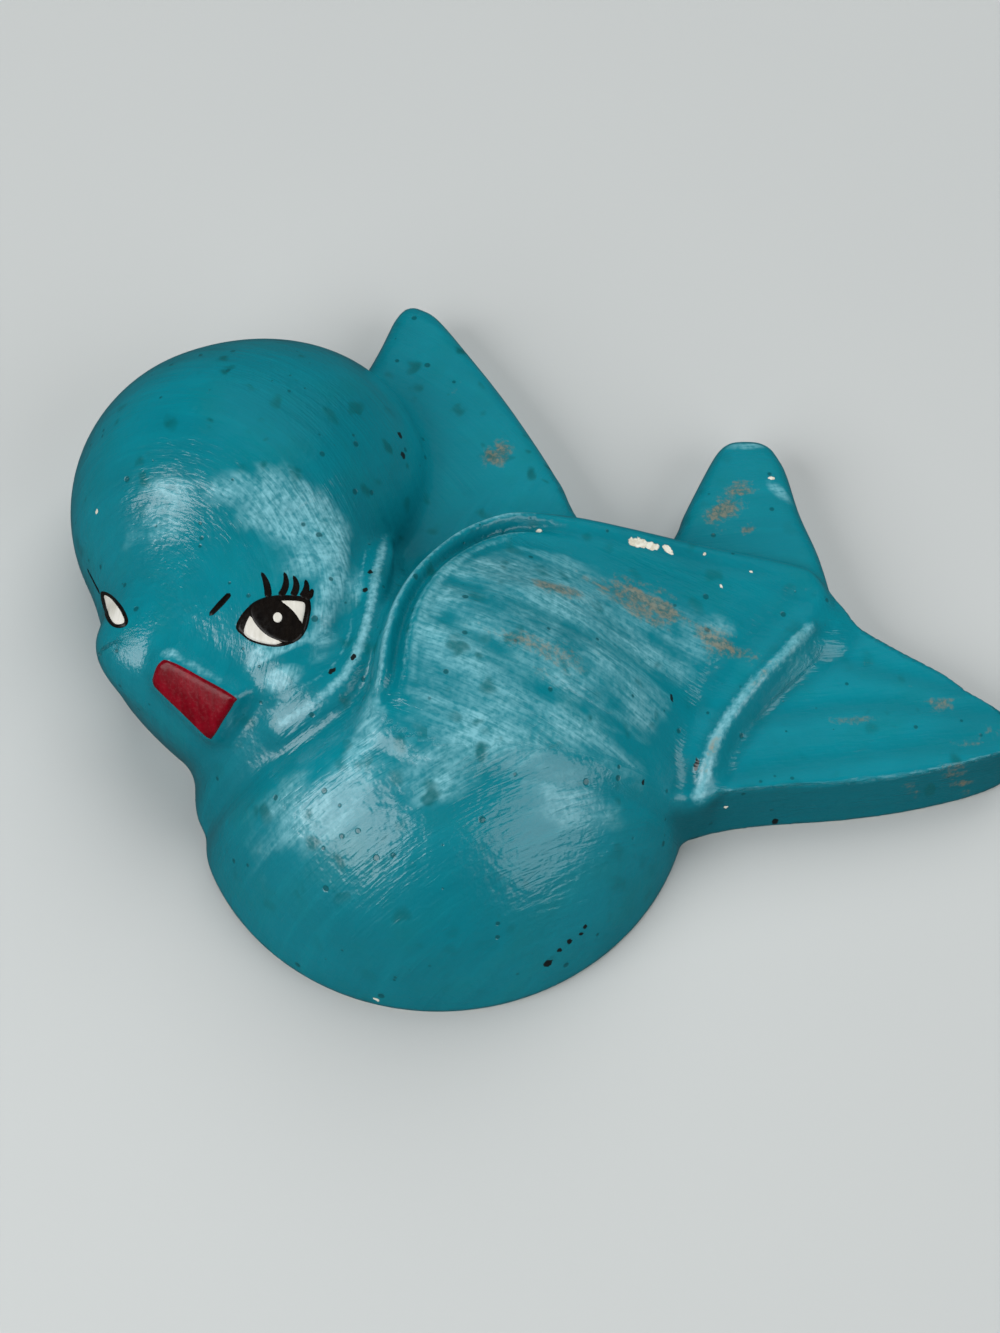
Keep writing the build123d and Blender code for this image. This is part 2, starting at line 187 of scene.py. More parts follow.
# Wear, painted highlights and painted shade, placed in plan: x, y, half length, half width, turn in
# degrees and, for soft marks, how strong.
RUBS = [
    (27, -5, 15, 6, -20, 1.1), (46, -14, 11, 4.6, -26, 1.08), (6, -10, 8, 3, 4, 1.02),
    (2, -30, 15, 6, -8, 0.78), (52, 32, 9, 4, 56, 1.05), (57, 24, 4, 2, 50, 0.8), (-9, 46, 6, 3.6, 45, 1.0),
    (80, -31.4, 6.5, 1.6, 4, 0.75), (84.5, -14, 4.5, 2, 0, 0.72), (103, -27, 7, 4, -30, 0.62),
    (96, -21, 5, 1.6, -32, 0.65), (110, -38, 6, 2.4, -8, 0.62), (114, -33, 7, 3, -20, 0.68),
    (106, -45, 9, 2, -10, 0.7), (56.5, -23.5, 7, 1.3, 48, 0.9),
    (43.6, -43, 7, 1.4, 68, 1.0), (-20, 70, 5, 1.5, 60, 0.55), (96, -48, 6, 1.2, -10, 0.6)]
# painted highlights and sheen: pale ovals where the gloss would catch the lamps
PAINTED_HIGHLIGHTS = [
    (-58, 7, 14, 9, -10, 1.5), (-47.5, -15, 19, 5.5, 80, 1.35), (-52, -3, 10, 8, 60, 1.2),
    (-73, 11, 9, 5, 0, 1.1), (-90, 9, 13, 8, 20, 0.95),
    (-60.1, -27.9, 10, 3, 23, 1.6), (-59.2, -35.3, 5.2, 3, 10, 1.4), (-86.5, -28.5, 2.6, 1.7, -20, 1.3),
    (-79, -32.6, 10, 1.5, -28, 1.0), (-71, -43, 3.4, 2, 40, 1.1), (-39.5, -54, 13, 4.5, 68, 1.25),
    (-50, -66, 18, 10, 20, 1.0), (-24, -62, 13, 8, 0, 1.0), (6, -64, 13, 8, 0, 1.1),
    (-14, -52, 19, 9, -10, 1.1), (12, -50, 18, 7, -12, 0.95), (51, -46, 7, 4, -10, 1.0),
    (66, 36, 6, 2, -50, 1.0), (57.5, 51, 6, 1.5, 0, 1.0)]
# painted shade: dark ovals in the creases under the eye and below the cheek
PAINTED_SHADES = [(-61.1, -31.6, 9, 1.5, 17, 0.9), (-55, -40, 7, 1.3, 35, 0.7)]
CHIPS = [
    (27.0, 11.9, 2.6, 1.15, -8), (30.4, 11.3, 1.9, 1.0, -14), (34.6, 10.6, 1.7, 0.8, -40),
    (44, 10.2, 0.5, 0.4, 0), (1.8, 13.2, 0.9, 0.6, 20), (64.5, 40.3, 1.0, 0.6, 0),
    (-37.3, -100.2, 1.0, 0.35, -20), (-109, 15.1, 0.7, 0.6, 0),
    (48, 1.5, 0.5, 0.4, 40), (97, -50.2, 1.1, 0.3, 4), (112, -45.6, 0.9, 0.35, 12), (56, 6.5, 0.35, 0.3, 0),
    (47.5, -53, 0.5, 0.4, 0)]
SPECKS = [
    (-33.9, 41.4, 1.0, 0.9, 0), (-33, 36, 1.1, 0.7, 60), (39.8, -46, 1.6, 0.5, 80),
    (3.3, -93.8, 1.1, 0.8, 35), (6.1, -91.3, 0.6, 0.6, 0), (8.4, -89.5, 0.7, 0.7, 0),
    (11, -87.7, 0.6, 0.6, 0), (12, -86.4, 0.7, 0.7, 0),
    (26, -55, 0.6, 0.5, 70), (60.5, -53.4, 1.0, 0.7, 0), (34, -31, 0.6, 1.1, 10),
    (-39.5, -6.5, 0.6, 0.9, 10), (-40.5, -12.5, 0.7, 0.7, 0), (-47.6, -33.5, 1.0, 0.7, 30),
    (-42.6, -31, 0.8, 0.6, 60)]

# Each enamel: roughness, how strongly it mirrors, the width of a streak in mm and its turn in degrees.
ENAMELS = {"red": (0.16, 0.2, 1.2, -48), "black": (0.2, 0.2, 0.8, 20), "white": (0.34, 0.5, 0.9, 35)}

# The back: plaster left round the hollow, and the hanger's pocket.
WALL = 11.0
POCKET_AT = (-20.5, 45.0)
POCKET_HALF = (13.0, 9.0)
POCKET_DEPTH = 10.0
POCKET_CORNER = 4.0

# The studio, in metres: two soft boxes in front, and the ceiling's bounce, which is too even to be seen in
# the gloss. Each lamp has its power's name, the way to it, its distance and its two sides. The camera's
# sensor is in millimetres and the photograph's height in pixels.
MIDDLE = (-0.008, -0.019, 0.020)
LAMPS = (
    ("soft_box_left", "left_power", (-0.66, -0.44, 0.61), 1.1, (0.95, 0.68)),
    ("soft_box_right", "right_power", (0.68, -0.50, 0.54), 1.1, (0.95, 0.80)),
    ("ceiling_bounce", "ceiling_power", (0.20, 0.90, 1.0), 1.7, (1.8, 1.5)))
TABLE_REACH = 4.0
SENSOR_HEIGHT = 36.0
PHOTO_HEIGHT = 1333


# Shape


def smooth_line(points, closed, steps=7):
    """Catmull-Rom curve: through each point, along the line that joins its two neighbours."""
    p = np.array(points, float)
    if closed:
        p0, p1, p2, p3 = np.roll(p, 1, 0), p, np.roll(p, -1, 0), np.roll(p, -2, 0)
    else:
        q = np.vstack([2 * p[0] - p[1], p, 2 * p[-1] - p[-2]])
        p0, p1, p2, p3 = q[:-3], q[1:-2], q[2:-1], q[3:]
    t = (np.arange(steps) / steps)[None, :, None]
    p0, p1, p2, p3 = (v[:, None, :] for v in (p0, p1, p2, p3))
    curve = 0.5 * (
        2 * p1 + (p2 - p0) * t + (2 * p0 - 5 * p1 + 4 * p2 - p3) * t**2 + (3 * p1 - p0 - 3 * p2 + p3) * t**3)
    curve = curve.reshape(-1, len(points[0]))
    return curve if closed else np.vstack([curve, p[-1]])


def to_side(x, y, a, b):
    """How far along the straight side from a to b its nearest point lies, and the squared way to it."""
    ex, ey, wx, wy = b[0] - a[0], b[1] - a[1], x - a[0], y - a[1]
    t = np.clip((wx * ex + wy * ey) / (ex * ex + ey * ey), 0, 1)
    return t, (wx - ex * t) ** 2 + (wy - ey * t) ** 2


def plan_distance(x, y, outline):
    """Shortest distance to an outline's sides, below zero inside it (even-odd crossings)."""
    best = np.full(x.shape, 1e9, np.float32)
    inside = np.zeros(x.shape, bool)
    for a, b in zip(outline, np.roll(outline, -1, 0)):
        best = np.minimum(best, to_side(x, y, a, b)[1])
        run, rise = b - a
        inside ^= ((a[1] > y) != (b[1] > y)) & (x - a[0] < run * (y - a[1]) / (rise if rise else 1e-9))
    return np.sqrt(best) * np.where(inside, -1, 1)


def line_distance(x, y, line):
    """Shortest plan distance to a line's pieces, and the line's height at the point that is nearest."""
    best = np.full(x.shape, 1e9, np.float32)
    height = np.zeros(x.shape, np.float32)
    for a, b in zip(line[:-1], line[1:]):
        t, away = to_side(x, y, a, b)
        height = np.where(away < best, a[2] + (b[2] - a[2]) * t, height)
        best = np.minimum(best, away)
    return np.sqrt(best), height


def plan_maps():
    """The plan distance to every outline and line, on one square grid, to be read between its points."""
    nx, ny = (int(round((high - low) / MAP_STEP)) + 1 for low, high in zip(MAP_LOW, MAP_HIGH))
    x = (MAP_LOW[0] + MAP_STEP * np.arange(nx, dtype=np.float32))[:, None] * np.ones((1, ny), np.float32)
    y = (MAP_LOW[1] + MAP_STEP * np.arange(ny, dtype=np.float32))[None, :] * np.ones((nx, 1), np.float32)
    maps = {name: plan_distance(x, y, smooth_line(points, True)) for name, points in OUTLINES.items()}
    for name, points in LINES.items():
        maps[name], height = line_distance(x, y, smooth_line(points, False))
        if height.any():
            maps[name + "_height"] = height
    return list(maps), np.stack(list(maps.values())).astype(np.float32)


MAP_NAMES, MAPS = plan_maps()


def plan(x, y):
    """The plan distances at x, y: each read from its map, in straight steps between the grid's points."""
    u = np.clip((x - MAP_LOW[0]) / MAP_STEP, 0, MAPS.shape[1] - 1.001)
    v = np.clip((y - MAP_LOW[1]) / MAP_STEP, 0, MAPS.shape[2] - 1.001)
    i, j = u.astype(int), v.astype(int)
    i, j, s, t = np.broadcast_arrays(i, j, (u - i).astype(np.float32), (v - j).astype(np.float32))
    near = MAPS[:, i, j] * (1 - s) + MAPS[:, i + 1, j] * s
    far = MAPS[:, i, j + 1] * (1 - s) + MAPS[:, i + 1, j + 1] * s
    return dict(zip(MAP_NAMES, near * (1 - t) + far * t))


def join(a, b, fillet):
    """The smaller of two distances, with a parabola of that width where they meet."""
    near = np.maximum(fillet - np.abs(a - b), 0) / fillet
    return np.minimum(a, b) - near * near * fillet * 0.25


def cut(a, b, fillet):
    """The larger of two distances, rounded off by that width where they meet."""
    return -join(-a, -b, fillet)


def ease(t):
    """0 below 0, 1 above 1 and 3t^2 - 2t^3 between."""
    t = np.clip(t, 0, 1)
    return t * t * (3 - 2 * t)


def bead(distance, width):
    """A bell curve over a line: e to the power of minus the square of distance over width."""
    return np.exp(-((distance / width) ** 2))


def ball(x, y, z, shape, grow=0.0):
    """Distance to a ball: length to its centre less its radius."""
    (cx, cy, cz), radius = shape
    return np.sqrt((x - cx) ** 2 + (y - cy) ** 2 + (z - cz) ** 2) - radius - grow


def head_and_face(x, y, z, grow=0.0):
    """Distance to two balls and the hollow arc, turned about their common axis, that touches both."""
    ra, rb, rc = HEAD[1] + grow, FACE[1] + grow, FOREHEAD_BLEND - grow
    axis = np.array(FACE[0]) - np.array(HEAD[0])
    length = np.linalg.norm(axis)
    axis = axis / length
    dx, dy, dz = x - HEAD[0][0], y - HEAD[0][1], z - HEAD[0][2]
    t = dx * axis[0] + dy * axis[1] + dz * axis[2]
    r = np.sqrt(np.maximum(dx * dx + dy * dy + dz * dz - t * t, 0))
    tc = ((ra + rc) ** 2 - (rb + rc) ** 2 + length**2) / (2 * length)
    hc = math.sqrt((ra + rc) ** 2 - tc**2)
    balls = np.minimum(np.sqrt(t * t + r * r) - ra, np.sqrt((t - length) ** 2 + r * r) - rb)
    u, v = t - tc, r - hc
    between = (hc * u - tc * v >= 0) & (-hc * u - (length - tc) * v >= 0)
    return np.where(between, rc - np.sqrt(u * u + v * v), balls)


def axes_on(normal):
    """Two axes of a plane on the bird: level along the wall, and up it; with the unit normal."""
    n = np.array(normal, float) / np.linalg.norm(normal)
    across = np.cross((0, 1, 0), n)
    across = across / np.linalg.norm(across)
    return across, np.cross(n, across), n


def beak_shape(x, y, z):
    """The plan of the beak, drawn in as it rises, cut by a roof of two planes along its middle line."""
    a, b, n = axes_on(BEAK_NORMAL)
    dx, dy, dz = x - BEAK_AT[0], y - BEAK_AT[1], z - BEAK_AT[2]
    pa = dx * a[0] + dy * a[1] + dz * a[2]
    pb = dx * b[0] + dy * b[1] + dz * b[2]
    height = dx * n[0] + dy * n[1] + dz * n[2]
    sides = plan_distance(pa, pb, np.array(BEAK_PLAN, float))
    (sa, sb), (ea, eb) = BEAK_LINE
    along = math.hypot(ea - sa, eb - sb)
    off = ((pa - sa) * (eb - sb) - (pb - sb) * (ea - sa)) / along
    roof = BEAK_HEIGHT - 0.05 * np.sqrt(off * off + 4)
    return cut(sides + 0.5 * (height - BEAK_HEIGHT), height - roof, 2.0)


def neck_valley(m, sizes):
    """The valley round the head: a bell curve across its line, as deep as the line's third number."""
    return sizes["neck"] * m["neck_height"] * bead(m["neck"], 4 + 0.6 * m["neck_height"])


def relief(x, y, z, m, sizes):
    """The front: balls for head, face and breast; the wing's dome and ramp; slabs for far wing and tail."""
    head = head_and_face(x, y, z)
    for swell, fillet in HEAD_SWELLS:
        head = join(head, ball(x, y, z, swell), fillet)
    chin = CHIN_NORMAL[0] * x + CHIN_NORMAL[1] * y + CHIN_NORMAL[2] * z - CHIN_REACH
    head = cut(head, chin, CHIN_FILLET)
    head = join(head, ball(x, y, z, JOWL), JOWL_FILLET)
    head = head + m["crease_height"] * bead(m["crease"], CREASE_WIDTH)
    head = join(head, ball(x, y, z, NEAR_CHEEK), CHEEK_FILLET)
    ridge = np.sqrt(m["jowl"] ** 2 + (z - m["jowl_height"]) ** 2)
    head = join(head, ridge - sizes["jowl"] * (0.2 + 0.8 * ease((18 - y) / 16)), RIDGE_FILLET)
    dome = ball(x, y, z, BODY)
    valley = neck_valley(m, sizes)
    body = dome + valley
    w = m["wing"]
    low = np.clip((y + 53 - 0.02 * (x + 8)) / 26, 0, 1)
    rim = sizes["rim"] * sum(share * bead(w + inset, width) for inset, width, share in RIM_BEADS)
    rim = rim * (0.2 + 0.8 * ease((14 - x) / 22)) * ease((66 - x) / 12)
    feather = sizes["feather"] * (
        bead(m["ridge"], 5) - bead(m["groove_low"], 3.5) - 0.8 * bead(m["groove_mid"], 3.5))
    ramp = RAMP_AT[2] - RAMP_SLOPES[0] * (x - RAMP_AT[0]) + RAMP_SLOPES[1] * (y - RAMP_AT[1])
    ramp = ramp - 6 * ease((-43 - y) / 10) * ease((46 - x) / 9)
    top = join(dome + 0.35 * valley - WING_RAISED * ease(low), (z - ramp) * 0.96, RAMP_FILLET)
    top = top - rim * ease(low * 1.4) - feather * ease(-w / 8)
    top = top - sizes["rear"] * (bead(m["rear"], 2.2) - 0.5 * bead(m["rear"] - 8, 4))
    wing = cut(top, w, WING_EDGE)
    grooves = sizes["tail"] * sum(share * bead(m[line], 3) for line, share in TAIL_LINES)
    draft = TAIL_DRAFT * z * ease((-34 - y) / 8)
    fall = TAIL_FALL * (x - TAIL_FALL_FROM)
    lower = cut(m["lower_lobe"] + draft, z - (LOWER_LOBE_HEIGHT - fall - grooves), 1.0)
    upper = cut(m["upper_lobe"], z - (UPPER_LOBE_HEIGHT - fall), SLAB_EDGE)
    far = cut(m["far_wing"], z - (FAR_WING_HEIGHT - FAR_WING_FALL * (y - FAR_WING_FALL_FROM)), SLAB_EDGE)
    bird = join(body, wing, 5)
    bird = join(bird, join(lower, upper, 4), 3)
    bird = join(bird, far, 6)
    bird = join(bird, head, 4)
    beside = (np.abs(x - BEAK_AT[0]) < 26) & (np.abs(y - BEAK_AT[1]) < 26)
    return np.where(beside, join(bird, beak_shape(x, y, z), BEAK_FILLET), bird)


def casting(x, y, z, m, sizes):
    """The front, cut flat at the wall, with the hollow (balls less the wall) and the hanger's pocket."""
    shape = cut(relief(x, y, z, m, sizes), -z, 1.5)
    body = ball(x, y, z, BODY, -WALL) + neck_valley(m, sizes)
    hollow = join(head_and_face(x, y, z, -WALL), body, 4)
    shape = cut(shape, -hollow, 3)
    qx = np.abs(x - POCKET_AT[0]) - POCKET_HALF[0] + POCKET_CORNER
    qy = np.abs(y - POCKET_AT[1]) - POCKET_HALF[1] + POCKET_CORNER
    qz = z - POCKET_DEPTH + POCKET_CORNER
    outside = np.sqrt(np.maximum(qx, 0) ** 2 + np.maximum(qy, 0) ** 2 + np.maximum(qz, 0) ** 2)
    pocket = outside + np.minimum(np.maximum(np.maximum(qx, qy), qz), 0) - POCKET_CORNER
    return cut(shape, -pocket, 1.2)


def at(points, shape, sizes):
    """A shape's distance at each point of an array."""
    x, y, z = points.T
    return shape(x, y, z, plan(x, y), sizes)


def slope(points, shape, sizes, reach=0.15):
    """The way out of a shape at each point: the change of its distance along each axis."""
    return np.stack([
        (at(points + reach * k, shape, sizes) - at(points - reach * k, shape, sizes)) / (2 * reach)
        for k in np.eye(3)], 1)


def casting_skin(cell, sizes):
    """The zero level of the casting's distance on a cubic grid: one point in each cell that the skin
    crosses, at the mean of its crossings of the cell's edges, one quad round each crossed edge, and
    then two Newton steps along the slope, so that every point lies on the skin."""
    n = [int(math.ceil((high - low) / cell)) + 1 for low, high in zip(SKIN_LOW, SKIN_HIGH)]
    axes = [low + cell * np.arange(k, dtype=np.float32) for low, k in zip(SKIN_LOW, n)]
    m = {name: layer[:, :, None] for name, layer in plan(axes[0][:, None], axes[1][None, :]).items()}
    f = casting(axes[0][:, None, None], axes[1][None, :, None], axes[2][None, None, :], m, sizes)
    solid = f < 0
    side = (slice(0, -1), slice(1, None))
    corners = [(a, b, c) for a in (0, 1) for b in (0, 1) for c in (0, 1)]
    count = sum(solid[side[a], side[b], side[c]].astype(np.int8) for a, b, c in corners)
    crossed = (count > 0) & (count < 8)
    cells = np.argwhere(crossed)
    index = np.full(crossed.shape, -1)
    index[crossed] = np.arange(len(cells))
    total, hits = np.zeros((len(cells), 3)), np.zeros((len(cells), 1))
    for a in corners:
        for b in corners:
            if a < b and sum(abs(i - j) for i, j in zip(a, b)) == 1:
                fa, fb = f[tuple((cells + a).T)], f[tuple((cells + b).T)]
                change = ((fa < 0) != (fb < 0))[:, None]
                t = (fa / np.where(fa == fb, 1, fa - fb))[:, None]
                total += (np.array(a) + (np.array(b) - np.array(a)) * t) * change
                hits += change
    points = (cells + total / hits) * cell + np.array(SKIN_LOW)
    quads = []
    for axis in range(3):
        others = [k for k in range(3) if k != axis]
        here = [slice(1, k - 1) for k in n]
        here[axis] = slice(0, n[axis] - 1)
        there = list(here)
        there[axis] = slice(1, n[axis])
        inside = solid[tuple(here)]
        edges = np.argwhere(inside != solid[tuple(there)])
        leaving = inside[tuple(edges.T)]
        edges[:, others] += 1
        ring = []
        for first, second in ((-1, -1), (0, -1), (0, 0), (-1, 0)):
            around = edges.copy()
            around[:, others[0]] += first
            around[:, others[1]] += second
            ring.append(index[tuple(around.T)])
        quad = np.stack(ring, 1)
        keep = leaving if axis != 1 else ~leaving
        quad[~keep] = quad[~keep][:, ::-1]
        quads.append(quad)
    for _ in range(2):
        g = slope(points, casting, sizes)
        step = -at(points, casting, sizes)[:, None] * g / np.maximum((g * g).sum(1), 0.25)[:, None]
        points = points + np.clip(step, -cell, cell)
    return points, np.concatenate(quads)


def in_patch(x, y, patch):
    """How far a plan point is from a patch's middle, with 1 at its oval edge."""
    px, py, half_length, half_width, turn = patch[:5]
    c, s = math.cos(math.radians(turn)), math.sin(math.radians(turn))
    u, v = (x - px) * c + (y - py) * s, (y - py) * c - (x - px) * s
    return np.sqrt((u / half_length) ** 2 + (v / half_width) ** 2)


def soft_marks(x, y, table, power, fall):
    """The strongest of a table's ovals at each point: its strength times e to minus fall times the way
    from its middle to that power."""
    return np.maximum.reduce([
        patch[5] * np.exp(-(in_patch(x, y, patch) ** power) * fall) for patch in table])


def paint_guides(points, sizes):
    """What the paint needs to know at each point of the skin: how the brush went (across and along it,
    in mm), where the front ends, the painted shade where the relief sinks, the painted highlights on
    raised lines, and where it is stained or rubbed."""
    x, y, z = points.T
    m = plan(x, y)
    head_near = np.minimum.reduce([
        head_and_face(x, y, z), ball(x, y, z, CROWN), ball(x, y, z, JOWL), ball(x, y, z, NEAR_CHEEK)])
    on_head = ease((ball(x, y, z, BODY) - head_near + 4) / 10)
    on_wing = ease((2 - m["wing"]) / 8)
    on_tail = ease((4 - np.minimum(m["lower_lobe"], m["upper_lobe"])) / 6) * (1 - on_wing)
    on_far = ease((4 - m["far_wing"]) / 6) * (1 - on_wing) * (1 - on_head)
    dx, dy = x + 100, y + 22
    around = np.stack([np.hypot(dx, dy), 60 * np.arctan2(dy, dx)], 1)

    def straight(turn):
        c, s = math.cos(math.radians(turn)), math.sin(math.radians(turn))
        return np.stack([-x * s + y * c, x * c + y * s], 1)

    stroke, calm = straight(28), np.ones(len(points))
    for share, way in (
            (on_tail, straight(8)), (on_far, straight(62)), (on_wing, straight(-22)), (on_head, around)):
        stroke = np.where((share > 0.5)[:, None], way, stroke)
        calm = calm * np.abs(2 * share - 1)
    steep = 1 - slope(points, relief, sizes)[:, 2]
    stroke[:, 0] += 1.2 * z * ease((steep - 0.4) / 0.3) * np.maximum(on_tail, on_far)
    front = at(points, relief, sizes)
    painted = ease((z - 0.4) / 0.8) * ease((1.2 + front) / 0.8)
    reach = 2.2
    bend = sum(
        at(points + reach * k, relief, sizes) + at(points - reach * k, relief, sizes) for k in np.eye(3))
    bend = (bend - 6 * front) / reach**2
    top_edge = 19 - 0.145 * (x + 2) - 0.2 * np.maximum(x - 8, 0)
    raised = ease(z / 20)
    behind_rim = ease((14 - x) / 22)
    # painted sheen over the wing (partly paint worn pale) and painted highlights in the listed ovals
    haze = ease(-(m["wing"] + 7) / 3) * ease((top_edge - 6 - y) / 8) * ease((m["rear"] - 5) / 12) * (x < 66)
    haze = np.maximum(haze, soft_marks(x, y, PAINTED_HIGHLIGHTS, 3, 0.7) * raised)
    # painted shade: hollows of the relief, groove inside the wing's rim, tail grooves, listed creases
    shade = np.maximum.reduce([
        np.clip(-bend / 0.25, 0, 1), bead(m["wing"] + 5.6, 1.2) * behind_rim * ease((y + 46) / 8),
        *(bead(m[line], 2.2) * on_tail for line, _ in TAIL_LINES),
        soft_marks(x, y, PAINTED_SHADES, 3, 0.7) * raised])
    haze = haze - 0.6 * shade - 0.3 * bead(m["groove_low"], 4) - 0.25 * bead(m["groove_mid"], 3.5)
    front_rim = (0.1 + 0.9 * behind_rim) * ease((y + 48) / 8)
    lip = np.sqrt(m["jowl"] ** 2 + (z - m["jowl_height"] - 3) ** 2)
    second_lip = bead(m["jowl"] - 3.8, 0.9) * (m["crease"] < 6) * ease((14 - y) / 10) * ease((z - 30) / 6)
    # painted highlights along the rear ridge, the jowl's two lips and the wing's front rim
    ridge = np.maximum.reduce([
        (0.82 + 0.26 * ease((-22 - y) / 20)) * bead(m["rear"], 2.5) * ease((y + 57) / 4),
        bead(lip, 1.9) * ease((20 - y) / 12), 0.7 * second_lip,
        0.95 * bead(m["wing"] + 2.6, 1.2) * front_rim, 0.7 * bead(m["wing"] + 8, 1.2) * front_rim])
    # painted shade on the tail's steep side wall, darker than its top
    wall = ease((steep - 0.45) / 0.4) * ease((17 - z) / 4) * on_tail
    stain = on_head * (0.15 + 0.85 * ease((y - 4) / 20)) + (1 - on_head) * (0.3 + 0.5 * ease((z - 20) / 15))
    return {
        "stroke": np.column_stack([stroke, np.zeros(len(points))]),
        "painted": painted,
        "calm": calm,
        "sink": shade,
        "rub": soft_marks(x, y, RUBS, 1.7, 0.6),
        "stain": np.clip(stain + on_far + on_tail * ease((x - 80) / 25), 0, 1),
        "haze": haze,
        "ridge": ridge,
        "wall": wall,
    }


# The paint of beak and eyes starts above the front and is dropped on it. Its underside lies in the plaster.
DROP_FROM = 8.0
ABOVE_THE_BIRD = 62.0
FILM_SUNK = 0.25


def drop_on(points, normal, sizes):
    """Points slid along the normal until they meet the front: each step is the distance that is left."""
    for _ in range(40):
        points = points - normal * np.clip(at(points, relief, sizes), -3, 3)[:, None] * 0.8
    return points


def on_the_front(marks, sizes):
    """Plan marks with the height of the front under each one put in as their third number."""
    table = np.array(marks, float)
    above = np.column_stack([table[:, :2], np.full(len(table), ABOVE_THE_BIRD)])
    return np.insert(table, 2, drop_on(above, np.array((0.0, 0.0, 1.0)), sizes)[:, 2], 1).tolist()


def laid_on_front(place, flat, sizes):
    """Points of a small plane on the bird, dropped on the front, and the plane's normal."""
    a, b, n = axes_on(place[1])
    start = np.array(place[0], float) + flat[..., :1] * a + flat[..., 1:] * b + DROP_FROM * n
    return drop_on(start.reshape(-1, 3), n, sizes).reshape(start.shape), n


def closed_film(top, under):
    """One skin from two grids of the same rings: the top, the underside turned over, joined at the rim.
    Each grid's first ring is one point repeated, so it is welded into a fan."""
    count, around = top.shape[:2]
    points = np.concatenate([top[0, :1], top[1:].reshape(-1, 3), under[0, :1], under[1:].reshape(-1, 3)])
    half = 1 + (count - 1) * around
    k = np.arange(around)
    nxt = (k + 1) % around
    faces = []
    for base, flip in ((0, False), (half, True)):
        fan = np.stack([np.full(around, base), base + 1 + k, base + 1 + nxt], 1)
        faces.append(fan[:, ::-1] if flip else fan)
        for ring in range(count - 2):
            a = base + 1 + ring * around
            b = a + around
            quad = np.stack([a + k, b + k, b + nxt, a + nxt], 1)
            faces.append(quad[:, ::-1] if flip else quad)
    a, b = 1 + (count - 2) * around, half + 1 + (count - 2) * around
    faces.append(np.stack([a + k, b + k, b + nxt, a + nxt], 1))
    return points, faces


def paint_film(place, outline, middle, lift, sizes, rings=9, crown=0.10, steps=5):
    """A pool of paint on a two-parameter grid: s goes from the middle to the outline and the other
    parameter round it. Each point is dropped on the front; the top is raised by the lift and by a
    crown times (1 - s^6), and the underside lies a little inside the plaster."""
    edge = smooth_line(outline, True, steps)
    s = np.linspace(0, 1, rings)[:, None, None]
    flat = np.array(middle) + s * (edge[None] - np.array(middle))
    ground, _ = laid_on_front(place, flat, sizes)
    out = slope(ground.reshape(-1, 3), relief, sizes, 0.6)
    out = (out / np.linalg.norm(out, axis=1)[:, None]).reshape(ground.shape)
    rise = (lift + crown * (1 - s**6)) * np.ones(ground.shape[:2] + (1,))
    rise[-1] = lift * 0.5
    return closed_film(ground + out * rise, ground - out * FILM_SUNK)


def paint_stroke(place, path, widths, lift, sizes, along=14, around=8):
    """A stroke of the brush: an oval carried along a curve on the front, (cos, sin) of the second
    parameter times the half width across and half the paint's height up, drawn to a point at each end."""
    p0, p1, p2 = np.array(path, float)
    t = np.linspace(0, 1, along)[:, None]
    # a parabola that passes through the three points
    flat = p0 * (1 - t) * (1 - 2 * t) + p1 * 4 * t * (1 - t) + p2 * t * (2 * t - 1)
    way = np.gradient(flat, axis=0)
    way = way / np.linalg.norm(way, axis=1)[:, None]
    side = np.stack([-way[:, 1], way[:, 0]], 1)
    width = np.interp(t[:, 0], np.linspace(0, 1, len(widths)), widths)
    width = width * np.sqrt(np.clip(1 - (2 * t[:, 0] - 1) ** 10, 0, 1)) + 0.02
    turn = np.linspace(0, 2 * math.pi, around, endpoint=False)
    spread = flat[:, None] + side[:, None] * (width[:, None] * np.cos(turn)[None])[..., None] * 0.5
    ground, n = laid_on_front(place, spread, sizes)
    height = (lift * np.sin(turn) * np.minimum(width / 0.6, 1)[:, None])[..., None]
    points = (ground + n * height).reshape(-1, 3)
    k = np.arange(around)
    nxt = (k + 1) % around
    start = around * np.arange(along - 1)[:, None]
    sides = np.stack([start + k, start + nxt, start + around + nxt, start + around + k], 2).reshape(-1, 4)
    return points, [sides, k[None, ::-1], (along - 1) * around + k[None]]


def gather(*pieces):
    """Several point arrays and their blocks of faces as one."""
    base = np.cumsum([0] + [len(points) for points, _ in pieces])
    blocks = [block + first for first, (_, faces) in zip(base, pieces) for block in faces]
    return np.concatenate([points for points, _ in pieces]), blocks


def turned_oval(middle, half_sizes, tilt, count=40):
    """An oval's points: cos and sin times its half sizes, turned by the tilt."""
    t = np.linspace(0, 2 * math.pi, count, endpoint=False)
    c, s = math.cos(math.radians(tilt)), math.sin(math.radians(tilt))
    u, v = half_sizes[0] * np.cos(t), half_sizes[1] * np.sin(t)
    return np.stack([middle[0] + u * c - v * s, middle[1] + u * s + v * c], 1)


def kept_inside(points, middle, outline):
    """Each point drawn in towards the middle until it is inside the outline."""
    edge = smooth_line(outline, True, 6)
    low, high = np.zeros(len(points)), np.ones(len(points))
    middle = np.array(middle)
    for _ in range(12):
        share = (low + high) / 2
        trial = middle + (points - middle) * share[:, None]
        out = plan_distance(trial[:, 0], trial[:, 1], edge) > 0
        low, high = np.where(out, low, share), np.where(out, share, high)
    return middle + (points - middle) * low[:, None]


# Mesh and material helpers


